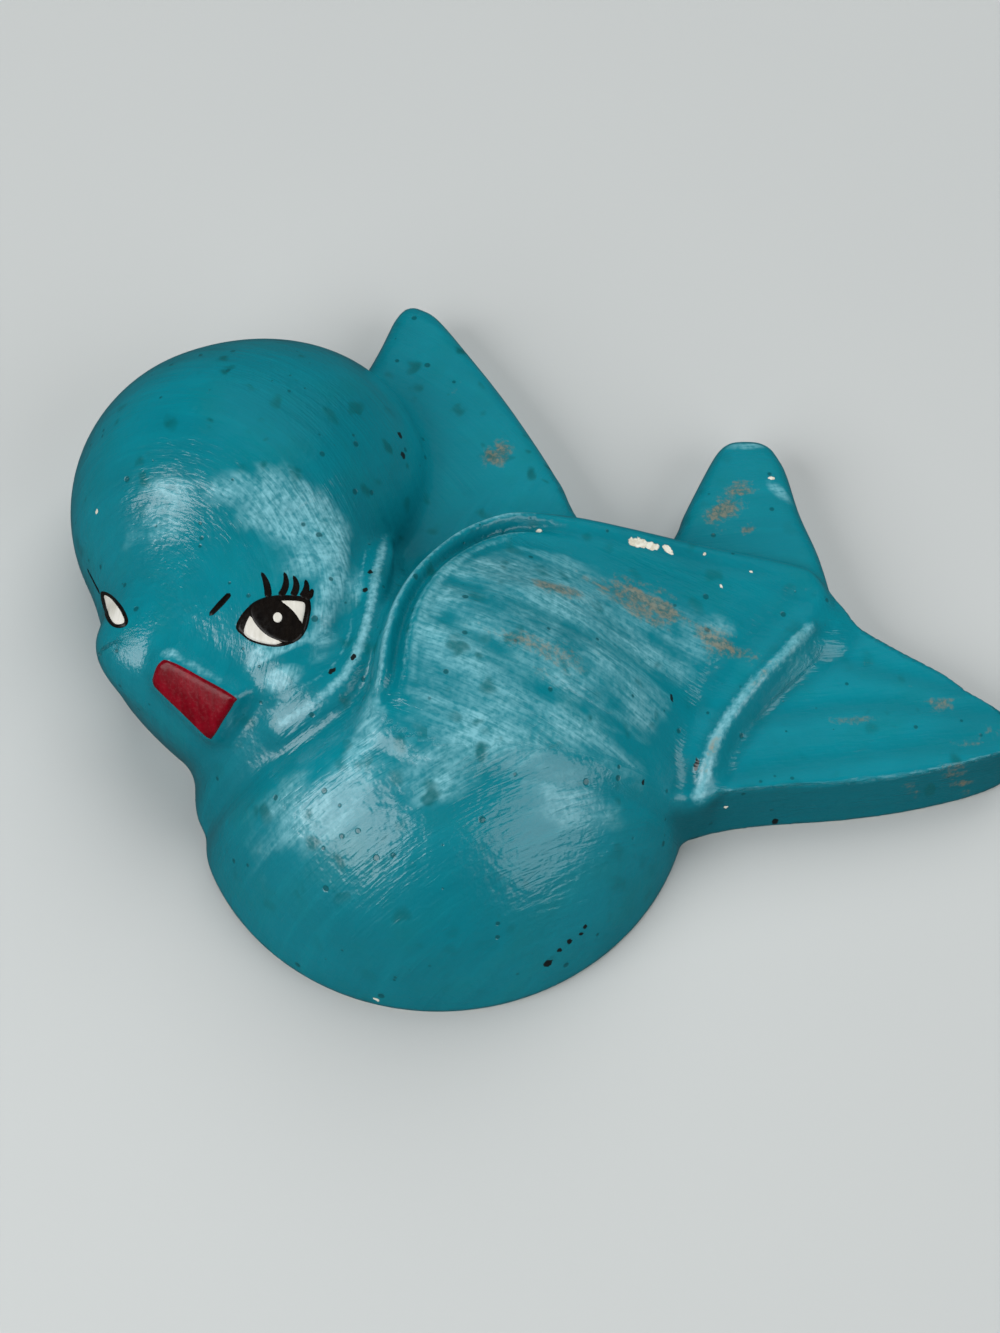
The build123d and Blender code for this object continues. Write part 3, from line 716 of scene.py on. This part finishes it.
def put_piece(name, points, blocks, materials, replaces, slot):
    """A mesh object at the origin, in metres, smooth, riding on the one body of the part. The faces
    come in blocks, each with its own number of corners."""
    mesh = bpy.data.meshes.new(name)
    mesh.from_pydata((points * MM).tolist(), [], [face for block in blocks for face in block.tolist()])
    mesh.polygons.foreach_set("use_smooth", np.ones(len(mesh.polygons), bool))
    for material in materials:
        mesh.materials.append(material)
    if mesh.validate():
        raise RuntimeError(f"{name}: the mesh had faults")
    piece = bpy.data.objects.new(name, mesh)
    bpy.context.scene.collection.objects.link(piece)
    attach(piece, "root")
    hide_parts(*replaces)
    return piece


def linear(colour):
    """An sRGB hex colour as linear red, green, blue and alpha."""
    parts = np.array([int(colour[i:i + 2], 16) / 255 for i in (1, 3, 5)])
    parts = np.where(parts <= 0.04045, parts / 12.92, ((parts + 0.055) / 1.055) ** 2.4)
    return (*parts.tolist(), 1.0)


def add(tree, kind, inputs=None, **settings):
    """A shader node with its settings; an input is a value, a socket to link from, or a node, which
    gives its first live output."""
    node = tree.nodes.new("ShaderNode" + kind)
    for name, value in settings.items():
        setattr(node, name, value)
    for name, value in (inputs or {}).items():
        if isinstance(value, bpy.types.Node):
            value = next(socket for socket in value.outputs if socket.enabled)
        if isinstance(value, bpy.types.NodeSocket):
            tree.links.new(value, node.inputs[name])
        else:
            node.inputs[name].default_value = value
    return node


def new_material(name):
    """An empty node material, and the function that adds a node to it."""
    material = bpy.data.materials.new(name)
    material.use_nodes = True
    material.node_tree.nodes.clear()
    return material, functools.partial(add, material.node_tree)


def per_metre(size_mm):
    """The scale of a pattern whose repeat is this many millimetres, on coordinates in metres."""
    return 1000.0 / size_mm


def painted_plaster(colours, chips, specks):
    """Plaster of Paris, cast, then brushed with a gloss oil paint: a wet-looking film that keeps the
    lines of the brush's hairs and the pits of the cast, so broad highlights break into streaks and
    dots. Painted highlights and sheen in pale teal lie along the strokes on the wing, on raised lines
    and in listed patches on head, neck and breast; on the wing part of it is paint worn pale. Painted
    shade lies in deep teal in hollows, grooves and creases, and darker on the tail's side wall. Crown
    and far wing are stained, rubbed places go down to a brown undercoat and chips to the white plaster."""
    material, node = new_material("plaster_brushed_gloss_paint")
    place = node("TexCoord").outputs["Object"]
    stroke = node("Attribute", attribute_name="stroke").outputs["Vector"]
    guide = {
        name: node("Attribute", attribute_name=name).outputs["Fac"]
        for name in ("calm", "sink", "rub", "stain", "haze", "ridge", "wall")}

    # hair lines, drawn coarser than the real 0.2 mm so that they show, bunches of hairs and whole
    # strokes: each as wide and as long as these millimetres, drawn out along the way the brush went
    drawn = {}
    for name, width, length in (("hair", 0.8, 6), ("bunch", 3.2, 22), ("lane", 7, 60)):
        along = node("VectorMath", {0: stroke, 1: (1 / width, 1 / length, 1)}, operation="MULTIPLY")
        drawn[name] = node("TexNoise", {
            "Vector": along, "Scale": 1.0, "Detail": 1.0, "Roughness": 0.5, "Distortion": 0.7})
    # the dried skin's wrinkles, the grain of worn paint, dabs of the brush, and clouds, in millimetres
    cloud = {
        name: node("TexNoise", {
            "Vector": place, "Scale": per_metre(size), "Detail": detail, "Roughness": 0.6})
        for name, size, detail in (
            ("peel", 1.6, 1), ("grain", 1.2, 3), ("dab", 9, 2), ("mid", 14, 3), ("broad", 60, 3))}

    # air pits of the cast, up to 2 mm wide in 4 mm cells, and soft stains up to 6.5 mm wide in 6.5 mm
    # cells, which wander by the dabs
    dots = {}
    wander = node("VectorMath", {
        0: cloud["dab"].outputs["Color"], 1: (0.009, 0.009, 0.009), 2: place}, operation="MULTIPLY_ADD")
    for name, where, cell, rare, radius, soft in (
            ("pit", place, 4, 0.5, 0.25, 0.08), ("spot", wander, 6.5, 0.0, 0.5, 0.28)):
        cells = node("TexVoronoi", {"Vector": where, "Scale": per_metre(cell)})
        pick = node("SeparateColor", {0: cells.outputs["Color"]})
        size = node("MapRange", {
            "Value": pick, "From Min": rare, "From Max": 1.0, "To Min": -0.02, "To Max": radius})
        inside = node("Math", {0: size, 1: cells}, operation="SUBTRACT")
        dots[name] = node("MapRange", {
            "Value": inside, "From Min": 0.0, "From Max": soft}, interpolation_type="SMOOTHSTEP")

    # marks from the tables: ovals in space, on coordinates shaken by up to 0.8 mm
    shake = node("TexNoise", {"Vector": place, "Scale": per_metre(1.4), "Detail": 4.0})
    moved = node("VectorMath", {
        0: shake.outputs["Color"], 1: (0.0016, 0.0016, 0.0016), 2: place}, operation="MULTIPLY_ADD")
    centred = node("VectorMath", {0: moved, 1: (0.0008, 0.0008, 0.0008)}, operation="SUBTRACT")
    marks = {}
    for name, table in (("chip", chips), ("speck", specks)):
        nearest = 99.0
        for x, y, z, half_length, half_width, turn in table:
            oval = node("Mapping", {
                "Vector": centred, "Location": (x * MM, y * MM, z * MM),
                "Rotation": (0, 0, math.radians(turn)),
                "Scale": (half_length * MM, half_width * MM, half_length * MM)}, vector_type="TEXTURE")
            reach = node("VectorMath", {0: oval}, operation="LENGTH")
            nearest = node("Math", {0: nearest, 1: reach}, operation="MINIMUM")
        marks[name] = node("MapRange", {
            "Value": nearest, "From Min": 1.08, "From Max": 0.92}, interpolation_type="SMOOTHSTEP")

    # rubbed through, painted sheen along the strokes (on the wing partly paint worn pale) and painted
    # highlights on the raised lines: where the guide, added to these clouds and strokes, is high
    shares = {}
    for name, first, low, high, most, layers in (
            ("worn", "rub", 1.85, 2.4, 0.66, (
                (cloud["dab"], 0.9), (cloud["grain"], 0.8), (drawn["bunch"], 0.9))),
            ("hazed", "haze", 1.85, 2.75, 0.8, (
                (cloud["mid"], 1.5), (drawn["lane"], 0.6), (drawn["bunch"], 0.6))),
            ("edge", "ridge", 1.2, 2.0, 0.85, ((cloud["grain"], 0.9), (cloud["mid"], 0.6)))):
        total = guide[first]
        for layer, part in layers:
            total = node("Math", {0: layer, 1: part, 2: total}, operation="MULTIPLY_ADD")
        shares[name] = node("MapRange", {
            "Value": total, "From Min": low, "From Max": high, "To Max": most},
            interpolation_type="SMOOTHSTEP")
    fine = node("Math", {0: cloud["peel"], 1: 0.8, 2: cloud["grain"]}, operation="MULTIPLY_ADD")
    fine = node("Math", {0: drawn["hair"], 1: 1.1, 2: fine}, operation="MULTIPLY_ADD")
    fine = node("MapRange", {"Value": fine, "From Min": 1.15, "From Max": 1.75, "To Min": 0.2})
    shares["hazed"] = node("Math", {0: shares["hazed"], 1: fine}, operation="MULTIPLY")

    # parts of colour, relief and gloss that follow one pattern: its range, and what they go from and to
    part = {}
    for name, layer, low, high, least, most in (
            ("tone", cloud["broad"], 0.3, 0.7, 0, 1), ("thin", drawn["bunch"], 0.45, 0.8, 0, 0.3),
            ("green", cloud["mid"], 0.5, 0.72, 0, 0.35), ("stain", cloud["mid"], 0.35, 0.6, 0.35, 1),
            ("lift", cloud["dab"], 0.35, 0.65, 0.6, 1.6), ("rough", cloud["mid"], 0, 1, 0.28, 0.46)):
        part[name] = node("MapRange", {
            "Value": layer, "From Min": low, "From Max": high, "To Min": least, "To Max": most})
    stain = node("Math", {0: part["stain"], 1: dots["spot"]}, operation="MULTIPLY")
    stain = node("Math", {0: stain, 1: guide["stain"]}, operation="MULTIPLY")
    # painted shade: deep teal where the relief sinks
    painted_shade_share = node("Math", {0: guide["sink"], 1: 0.6}, operation="MULTIPLY")
    pit = node("Math", {0: dots["pit"], 1: 0.8}, operation="MULTIPLY")
    sound = node("MapRange", {
        "Value": cloud["grain"], "From Min": 0.35, "From Max": 0.65}, interpolation_type="SMOOTHSTEP")
    brown = node("Mix", {0: sound, 6: colours.rub_dark, 7: colours.rub}, data_type="RGBA")
    cream = node("Mix", {0: sound, 6: colours.chip_shade, 7: colours.chip}, data_type="RGBA")
    paint = node("Mix", {0: part["tone"], 6: colours.teal_deep_and_painted_shade, 7: colours.teal}, data_type="RGBA")
    # over the paint go painted shade, painted highlights and sheen, stains, pits, wear, specks and chips
    for share, colour in (
            (part["thin"], colours.teal_light), (part["green"], colours.teal_green),
            (painted_shade_share, colours.teal_deep_and_painted_shade), (guide["wall"], colours.wall), (shares["hazed"], colours.teal_pale_and_painted_highlight),
            (shares["edge"], colours.teal_pale_and_painted_highlight), (stain, colours.stain), (pit, colours.pit),
            (shares["worn"], brown), (marks["speck"], colours.speck), (marks["chip"], cream)):
        paint = node("Mix", {0: share, 6: paint, 7: colour}, data_type="RGBA")

    height = node("Math", {0: drawn["hair"], 1: part["lift"]}, operation="MULTIPLY")
    height = node("Math", {0: drawn["bunch"], 1: 1.2, 2: height}, operation="MULTIPLY_ADD")
    height = node("Math", {0: height, 1: guide["calm"]}, operation="MULTIPLY")
    for layer, rise in (
            (cloud["peel"], 1.0), (cloud["dab"], 1.7), (cloud["mid"], 1.2), (dots["pit"], -0.8),
            (shares["worn"], -0.5), (marks["chip"], -1.4)):
        height = node("Math", {0: layer, 1: rise, 2: height}, operation="MULTIPLY_ADD")
    bump = node("Bump", {"Height": height, "Strength": 1.0, "Distance": 0.00012})
    rough = part["rough"]
    for layer, least in ((shares["hazed"], 0.6), (shares["worn"], 0.7), (marks["chip"], 0.9)):
        dull = node("Math", {0: layer, 1: least}, operation="MULTIPLY")
        rough = node("Math", {0: rough, 1: dull}, operation="MAXIMUM")
    shader = node("BsdfPrincipled", {
        "Base Color": paint, "Roughness": rough, "IOR": 1.5, "Specular IOR Level": 0.25, "Normal": bump,
        "Specular Tint": (0.66, 0.9, 1.0, 1.0), "Coat Weight": 0.8, "Coat Roughness": 0.18,
        "Coat IOR": 1.5, "Coat Normal": bump})
    node("OutputMaterial", {"Surface": shader})
    return material


def bare_plaster(colours):
    """Plaster of Paris as it set in the open back of the mould: chalky white, matt, with fine air
    pits, a few brown scuffs, and paint that ran round the edge."""
    material, node = new_material("plaster_cast_bare")
    place = node("TexCoord").outputs["Object"]
    # clouds, the plaster's grain and scuffs, in millimetres
    cloud, grain, scuff = (
        node("TexNoise", {
            "Vector": place, "Scale": per_metre(size), "Detail": detail, "Roughness": fine,
            "Distortion": twist})
        for size, detail, fine, twist in ((30, 5, 0.6, 0), (1.2, 4, 0.7, 0), (11, 4, 0.5, 1.5)))
    pits = node("TexVoronoi", {"Vector": place, "Scale": per_metre(5)})
    pit = node("MapRange", {"Value": pits, "From Min": 0.16, "From Max": 0.08})
    dirt = node("MapRange", {"Value": scuff, "From Min": 0.58, "From Max": 0.78, "To Max": 0.5})
    run = node("Attribute", attribute_name="painted").outputs["Fac"]
    ragged = node("Math", {0: scuff, 1: 0.7, 2: run}, operation="MULTIPLY_ADD")
    over = node("MapRange", {"Value": ragged, "From Min": 0.5, "From Max": 0.62})
    face = colours.plaster_aged
    for share, colour in (
            (cloud, colours.plaster), (dirt, colours.rub), (pit, colours.plaster_pit),
            (over, colours.teal_deep_and_painted_shade)):
        face = node("Mix", {0: share, 6: face, 7: colour}, data_type="RGBA")
    depth = node("Math", {0: pit, 1: -1.5, 2: grain}, operation="MULTIPLY_ADD")
    bump = node("Bump", {"Height": depth, "Strength": 0.8, "Distance": 0.0002})
    rough = node("MapRange", {"Value": grain, "To Min": 0.82, "To Max": 0.95})
    shader = node("BsdfPrincipled", {
        "Base Color": face, "Roughness": rough, "IOR": 1.52, "Normal": bump})
    node("OutputMaterial", {"Surface": shader})
    return material


def brushed_enamel(colours, paint):
    """Enamel put on with a small brush: a smooth glossy pool with faint streaks where it was drawn out,
    a little darker where it lies thick, and dulled by specks of dust."""
    rough, shine, streak_mm, turn = ENAMELS[paint]
    shade, colour = getattr(colours, paint + "_shade"), getattr(colours, paint)
    material, node = new_material(f"enamel_{paint}_brushed")
    place = node("TexCoord").outputs["Object"]
    drawn = node("Mapping", {
        "Vector": place, "Rotation": (0, 0, math.radians(turn)),
        "Scale": (per_metre(streak_mm), per_metre(streak_mm * 7), per_metre(streak_mm * 3))})
    streak = node("TexNoise", {"Vector": drawn, "Scale": 1.0, "Detail": 3.0})
    pool, dust = (
        node("TexNoise", {"Vector": place, "Scale": per_metre(size), "Detail": 2.0}) for size in (6, 0.9))
    both = node("Math", {0: streak, 1: pool}, operation="ADD")
    thin = node("MapRange", {"Value": both, "From Min": 0.75, "From Max": 1.25})
    film = node("Mix", {0: thin, 6: shade, 7: colour}, data_type="RGBA")
    bumpy = node("Math", {0: dust, 1: 0.25, 2: streak}, operation="MULTIPLY_ADD")
    bump = node("Bump", {"Height": bumpy, "Strength": 0.7, "Distance": 0.00006})
    gloss = node("MapRange", {
        "Value": dust, "From Min": 0.35, "From Max": 0.75, "To Min": rough, "To Max": rough + 0.2})
    shader = node("BsdfPrincipled", {
        "Base Color": film, "Roughness": gloss, "IOR": 1.5, "Specular IOR Level": shine, "Normal": bump})
    node("OutputMaterial", {"Surface": shader})
    return material


def galvanised_wire(colours):
    """Drawn steel wire with a dull zinc coat: cloudy grey metal with a little rust."""
    material, node = new_material("steel_wire_galvanised")
    place = node("TexCoord").outputs["Object"]
    spangle = node("TexNoise", {
        "Vector": place, "Scale": per_metre(2.2), "Detail": 4.0, "Roughness": 0.65})
    rust = node("MapRange", {"Value": spangle, "From Min": 0.55, "From Max": 0.72, "To Max": 0.8})
    grey = node("Mix", {0: rust, 6: colours.wire, 7: colours.rust}, data_type="RGBA")
    metal = node("Math", {0: 1.0, 1: rust}, operation="SUBTRACT")
    rough = node("MapRange", {"Value": spangle, "To Min": 0.3, "To Max": 0.75})
    bump = node("Bump", {"Height": spangle, "Strength": 0.6, "Distance": 0.0001})
    shader = node("BsdfPrincipled", {
        "Base Color": grey, "Metallic": metal, "Roughness": rough, "Normal": bump})
    node("OutputMaterial", {"Surface": shader})
    return material


def studio_table(colours):
    """A painted table top: pale grey, matt, with the faintest cloud so that it isn't one flat tone."""
    material, node = new_material("table_top_matt_paint")
    place = node("TexCoord").outputs["Object"]
    cloud = node("TexNoise", {"Vector": place, "Scale": per_metre(240), "Detail": 2.0})
    tone = node("Mix", {0: cloud, 6: colours.table_shade, 7: colours.table}, data_type="RGBA")
    shader = node("BsdfPrincipled", {"Base Color": tone, "Roughness": 0.75, "IOR": 1.45})
    node("OutputMaterial", {"Surface": shader})
    return material


# What a user would change


def colour_property(name, description, default):
    """A colour that a user may pick, from its sRGB hex value."""
    return bpy.props.FloatVectorProperty(
        name=name, description=description, default=linear(default), size=4, min=0.0, max=1.0,
        subtype="COLOR")


def number_property(name, description, default, **kind):
    """A number that a user may change."""
    return bpy.props.FloatProperty(name=name, description=description, default=default, **kind)


def length_property(name, description, default, least=0.0):
    """A length that a user may change, in metres."""
    return number_property(
        name, description, default, min=least, precision=5, unit="LENGTH", subtype="DISTANCE")


class ChalkBirdSizes(bpy.types.PropertyGroup):
    """Heights of the modelled lines, and the fineness of the skin."""

    skin_cell: length_property(
        "Skin cell", "Edge of the grid cells that the casting's skin is read on", 0.00112, 0.0009)
    wing_rim: length_property("Wing rim", "Height of the bead along the wing's front edge", 0.0022)
    wing_feathers: length_property("Wing feathers", "Depth of the feather grooves on the wing", 0.001)
    wing_rear: length_property("Wing rear ridge", "Height of the bead along the wing's rear edge", 0.0017)
    jowl_ridge: length_property("Jowl ridge", "Radius of the ridge behind the cheek", 0.0026)
    tail_grooves: length_property("Tail grooves", "Depth of the grooves in the tail", 0.0007)
    paint_lift: length_property("Paint lift", "Thickness of one coat of the eye paint", 0.00009)
    neck_valley: number_property(
        "Neck valley", "Depth of the valley round the head, as a share of the modelled one", 1.0,
        min=0.0, max=2.0)


class ChalkBirdColours(bpy.types.PropertyGroup):
    """The paints, the plaster, the wire and the table."""

    teal: colour_property("Teal", "The body paint", "#008595")
    # also the painted shade in hollows, grooves and creases
    teal_deep_and_painted_shade: colour_property("Deep teal", "The body paint where it lies thick", "#007381")
    teal_light: colour_property("Light teal", "The body paint where the brush drew it thin", "#008e9c")
    teal_green: colour_property("Green teal", "The body paint where it has gone green", "#00767c")
    # painted shade: the tail's side wall made darker than its top
    wall: colour_property("Side wall", "The body paint on the tail's side wall, grimy", "#00626e")
    stain: colour_property("Stain", "Dark stained spots of the body paint", "#006166")
    # painted highlights and sheen, on the wing partly paint worn pale
    teal_pale_and_painted_highlight: colour_property("Pale teal", "Paint worn thin on raised lines", "#8ed0dc")
    pit: colour_property("Pit", "The inside of an air pit", "#00535a")
    rub: colour_property("Rub", "Brown undercoat in rubbed places", "#927c5c")
    rub_dark: colour_property("Dark rub", "The undercoat's dirt", "#46564a")
    chip: colour_property("Chip", "Plaster in a chip", "#efeee0")
    chip_shade: colour_property("Chip shade", "Plaster in a chip, soiled", "#d8d2bd")
    speck: colour_property("Speck", "Specks of black paint", "#151b1c")
    red: colour_property("Red", "The beak's enamel", "#86081c")
    red_shade: colour_property("Deep red", "The beak's enamel where it lies thick", "#6a0412")
    black: colour_property("Black", "The eyes' black enamel", "#171310")
    black_shade: colour_property("Deep black", "The black enamel where it lies thick", "#0c0a09")
    white: colour_property("White", "The eyes' white enamel", "#e8e6de")
    white_shade: colour_property("Aged white", "The white enamel, soiled", "#cfccc0")
    plaster: colour_property("Plaster", "The bare back", "#ece7da")
    plaster_aged: colour_property("Aged plaster", "The bare back, yellowed", "#d9d0bb")
    plaster_pit: colour_property("Plaster pit", "Air pits in the bare back", "#8d8371")
    wire: colour_property("Wire", "The zinc coat of the hanger", "#a9adae")
    rust: colour_property("Rust", "Rust on the hanger", "#6d4a33")
    table: colour_property("Table", "The table top", "#c9cdcc")
    table_shade: colour_property("Table shade", "The table top's cloud", "#c4c8c8")


class ChalkBirdStudio(bpy.types.PropertyGroup):
    """Camera and lamps."""

    camera_distance: number_property(
        "Camera distance", "From the lens to the middle of the bird", 0.480,
        unit="LENGTH", subtype="DISTANCE")
    camera_rise: number_property(
        "Camera rise", "Angle of the view above the table", math.radians(60),
        unit="ROTATION", subtype="ANGLE")
    focal_pixels: number_property("Focal length", "In pixels of a picture 1333 pixels high", 1920)
    left_power: number_property(
        "Left soft box", "Power of the soft box on the left", 9.0, unit="POWER")
    right_power: number_property(
        "Right soft box", "Power of the soft box on the right", 5.0, unit="POWER")
    ceiling_power: number_property(
        "Ceiling bounce", "Power of the light that the ceiling throws back", 23.0, unit="POWER")
    walls: number_property("Walls", "Strength of the light from all round", 0.04)


def modelled_heights(scene):
    """The sizes that the shape functions use, in millimetres, from the panel."""
    s = scene.chalk_bird_sizes
    heights = {
        "rim": s.wing_rim, "feather": s.wing_feathers, "rear": s.wing_rear, "jowl": s.jowl_ridge,
        "tail": s.tail_grooves, "cell": s.skin_cell, "coat": s.paint_lift}
    return {"neck": s.neck_valley, **{name: size / MM for name, size in heights.items()}}


# Operators


class CHALKBIRD_OT_casting(bpy.types.Operator):
    """Make the plaster casting's skin with its brushed paint and bare back"""

    bl_idname = "chalkbird.casting"
    bl_label = "Painted casting"

    def execute(self, context):
        heights = modelled_heights(context.scene)
        colours = context.scene.chalk_bird_colours
        points, quads = casting_skin(heights["cell"], heights)
        guides = paint_guides(points, heights)
        coat = painted_plaster(colours, on_the_front(CHIPS, heights), on_the_front(SPECKS, heights))
        piece = put_piece(
            "painted_casting", points, [quads], [coat, bare_plaster(colours)], ["bird_casting"],
            "painted_plaster")
        for name, values in guides.items():
            kind, field = ("FLOAT_VECTOR", "vector") if values.ndim == 2 else ("FLOAT", "value")
            layer = piece.data.attributes.new(name, kind, "POINT")
            layer.data.foreach_set(field, values.astype(np.float32).ravel())
        bare = guides["painted"][quads].mean(1) < 0.5
        piece.data.polygons.foreach_set("material_index", bare.astype(np.int32))
        return {"FINISHED"}


class CHALKBIRD_OT_beak(bpy.types.Operator):
    """Paint the beak's red enamel over the wedge of the casting"""

    bl_idname = "chalkbird.beak"
    bl_label = "Beak enamel"

    def execute(self, context):
        heights = modelled_heights(context.scene)
        red = brushed_enamel(context.scene.chalk_bird_colours, "red")
        points, faces = paint_film(
            (BEAK_AT, BEAK_NORMAL), BEAK_PAINT, BEAK_PAINT_MIDDLE, BEAK_COAT, heights, rings=14, crown=0.06,
            steps=10)
        put_piece("beak_enamel", points, faces, [red], ["beak_paint"], "red_enamel")
        return {"FINISHED"}


class CHALKBIRD_OT_near_eye(bpy.types.Operator):
    """Paint the near eye: lids, white, iris, glint, lashes and brow"""

    bl_idname = "chalkbird.near_eye"
    bl_label = "Near eye"

    def execute(self, context):
        heights = modelled_heights(context.scene)
        colours = context.scene.chalk_bird_colours
        coat = heights["coat"]
        place = (NEAR_EYE_AT, NEAR_EYE_NORMAL)
        black, white = (brushed_enamel(colours, paint) for paint in ("black", "white"))
        iris = kept_inside(turned_oval(IRIS_AT, IRIS_HALF_SIZES, IRIS_TILT), IRIS_AT, NEAR_LIDS)
        dark = [
            paint_film(place, NEAR_LIDS, NEAR_MIDDLE, coat, heights, crown=0.02),
            paint_film(place, iris.tolist(), IRIS_AT, 3 * coat, heights, crown=0.06, steps=2)]
        dark += [paint_stroke(place, lash, LASH_WIDTHS, 1.5 * coat, heights) for lash in LASHES]
        dark.append(paint_stroke(place, BROW, BROW_WIDTHS, 1.5 * coat, heights))
        put_piece("near_eye_black_enamel", *gather(*dark), [black], ["near_eye_black"], "black_enamel")
        glint = turned_oval(GLINT_AT, GLINT_HALF_SIZES, GLINT_TILT, 14)
        pale = [
            paint_film(place, NEAR_WHITE, NEAR_MIDDLE, 2 * coat, heights, crown=0.02),
            paint_film(place, glint.tolist(), GLINT_AT, 5 * coat, heights, rings=5, crown=0.08, steps=2)]
        put_piece("near_eye_white_enamel", *gather(*pale), [white], ["near_eye_white"], "white_enamel")
        return {"FINISHED"}


class CHALKBIRD_OT_far_eye(bpy.types.Operator):
    """Paint the far eye: a black lid line round a sliver of white"""

    bl_idname = "chalkbird.far_eye"
    bl_label = "Far eye"

    def execute(self, context):
        heights = modelled_heights(context.scene)
        coat = heights["coat"]
        place = (FAR_EYE_AT, FAR_EYE_NORMAL)
        dark = [
            paint_film(place, FAR_LIDS, FAR_LIDS_MIDDLE, coat, heights, crown=0.02),
            paint_stroke(place, FAR_LASH, FAR_LASH_WIDTHS, 1.5 * coat, heights)]
        black, white = (bpy.data.materials[f"enamel_{paint}_brushed"] for paint in ("black", "white"))
        put_piece("far_eye_black_enamel", *gather(*dark), [black], ["far_eye_black"], "black_enamel")
        pale = paint_film(place, FAR_WHITE, FAR_WHITE_MIDDLE, 2 * coat, heights, crown=0.04)
        put_piece("far_eye_white_enamel", *pale, [white], ["far_eye_white"], "white_enamel")
        return {"FINISHED"}


class CHALKBIRD_OT_hanger(bpy.types.Operator):
    """Give the hanger wire in the back its zinc coat"""

    bl_idname = "chalkbird.hanger"
    bl_label = "Hanger wire"

    def execute(self, context):
        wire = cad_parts["hanger_wire"]
        wire.data.materials.clear()
        wire.data.materials.append(galvanised_wire(context.scene.chalk_bird_colours))
        return {"FINISHED"}


class CHALKBIRD_OT_studio(bpy.types.Operator):
    """Set the table, the lamps, the even light and the camera"""

    bl_idname = "chalkbird.studio"
    bl_label = "Studio"

    def execute(self, context):
        scene = context.scene
        studio = scene.chalk_bird_studio
        mesh = bpy.data.meshes.new("table_top")
        corners = [(a * TABLE_REACH, b * TABLE_REACH, 0) for a, b in ((-1, -1), (1, -1), (1, 1), (-1, 1))]
        mesh.from_pydata(corners, [], [(0, 1, 2, 3)])
        mesh.materials.append(studio_table(scene.chalk_bird_colours))
        table = bpy.data.objects.new("table_top", mesh)
        scene.collection.objects.link(table)
        # the dark cloth that a photographer lays round a glossy thing: the gloss doesn't mirror the table
        table.visible_glossy = False
        middle = Vector(MIDDLE)
        for name, power, toward, away, sides in LAMPS:
            lamp = bpy.data.lights.new(name, "AREA")
            lamp.shape = "RECTANGLE"
            lamp.size, lamp.size_y = sides
            lamp.energy = getattr(studio, power)
            holder = bpy.data.objects.new(name, lamp)
            holder.location = middle + Vector(toward).normalized() * away
            holder.rotation_euler = (-Vector(toward)).to_track_quat("-Z", "Y").to_euler()
            holder.visible_glossy = name != "ceiling_bounce"
            scene.collection.objects.link(holder)
        world = bpy.data.worlds.new("even_light")
        world.use_nodes = True
        tree = world.node_tree
        tree.nodes.clear()
        sky = add(tree, "Background", {"Color": (0.97, 0.99, 1.0, 1.0), "Strength": studio.walls})
        add(tree, "OutputWorld", {"Surface": sky})
        scene.world = world
        camera = bpy.data.cameras.new("photo_view")
        camera.sensor_fit = "VERTICAL"
        camera.sensor_height = SENSOR_HEIGHT
        camera.lens = SENSOR_HEIGHT * studio.focal_pixels / PHOTO_HEIGHT
        camera.clip_start, camera.clip_end = 0.01, 20.0
        holder = bpy.data.objects.new("photo_view", camera)
        back = Vector((0, -math.cos(studio.camera_rise), math.sin(studio.camera_rise)))
        holder.location = middle + back * studio.camera_distance
        holder.rotation_euler = (math.pi / 2 - studio.camera_rise, 0, 0)
        scene.collection.objects.link(holder)
        scene.camera = holder
        scene.view_settings.view_transform = "Standard"
        return {"FINISHED"}


PIECES = (
    CHALKBIRD_OT_casting, CHALKBIRD_OT_beak, CHALKBIRD_OT_near_eye, CHALKBIRD_OT_far_eye,
    CHALKBIRD_OT_hanger, CHALKBIRD_OT_studio)
GROUPS = {
    "chalk_bird_sizes": ChalkBirdSizes,
    "chalk_bird_colours": ChalkBirdColours,
    "chalk_bird_studio": ChalkBirdStudio,
}


class VIEW3D_PT_chalk_bird(bpy.types.Panel):
    """Lists the sizes, the colours and the pieces"""

    bl_label = "Chalk bird"
    bl_idname = "VIEW3D_PT_chalk_bird"
    bl_space_type = "VIEW_3D"
    bl_region_type = "UI"
    bl_category = "Chalk Bird"

    def draw(self, context):
        for name, group in GROUPS.items():
            box = self.layout.box()
            box.label(text=group.__doc__)
            for prop in group.__annotations__:
                box.prop(getattr(context.scene, name), prop)
        for piece in PIECES:
            self.layout.operator(piece.bl_idname)


CLASSES = (*GROUPS.values(), *PIECES, VIEW3D_PT_chalk_bird)


def register():
    for cls in CLASSES:
        bpy.utils.register_class(cls)
    for name, group in GROUPS.items():
        setattr(bpy.types.Scene, name, bpy.props.PointerProperty(type=group))


def unregister():
    for name in GROUPS:
        delattr(bpy.types.Scene, name)
    for cls in reversed(CLASSES):
        bpy.utils.unregister_class(cls)


def main():
    register()
    for piece in PIECES:
        getattr(bpy.ops.chalkbird, piece.bl_idname.split(".")[1])()


if __name__ == "__main__":
    main()
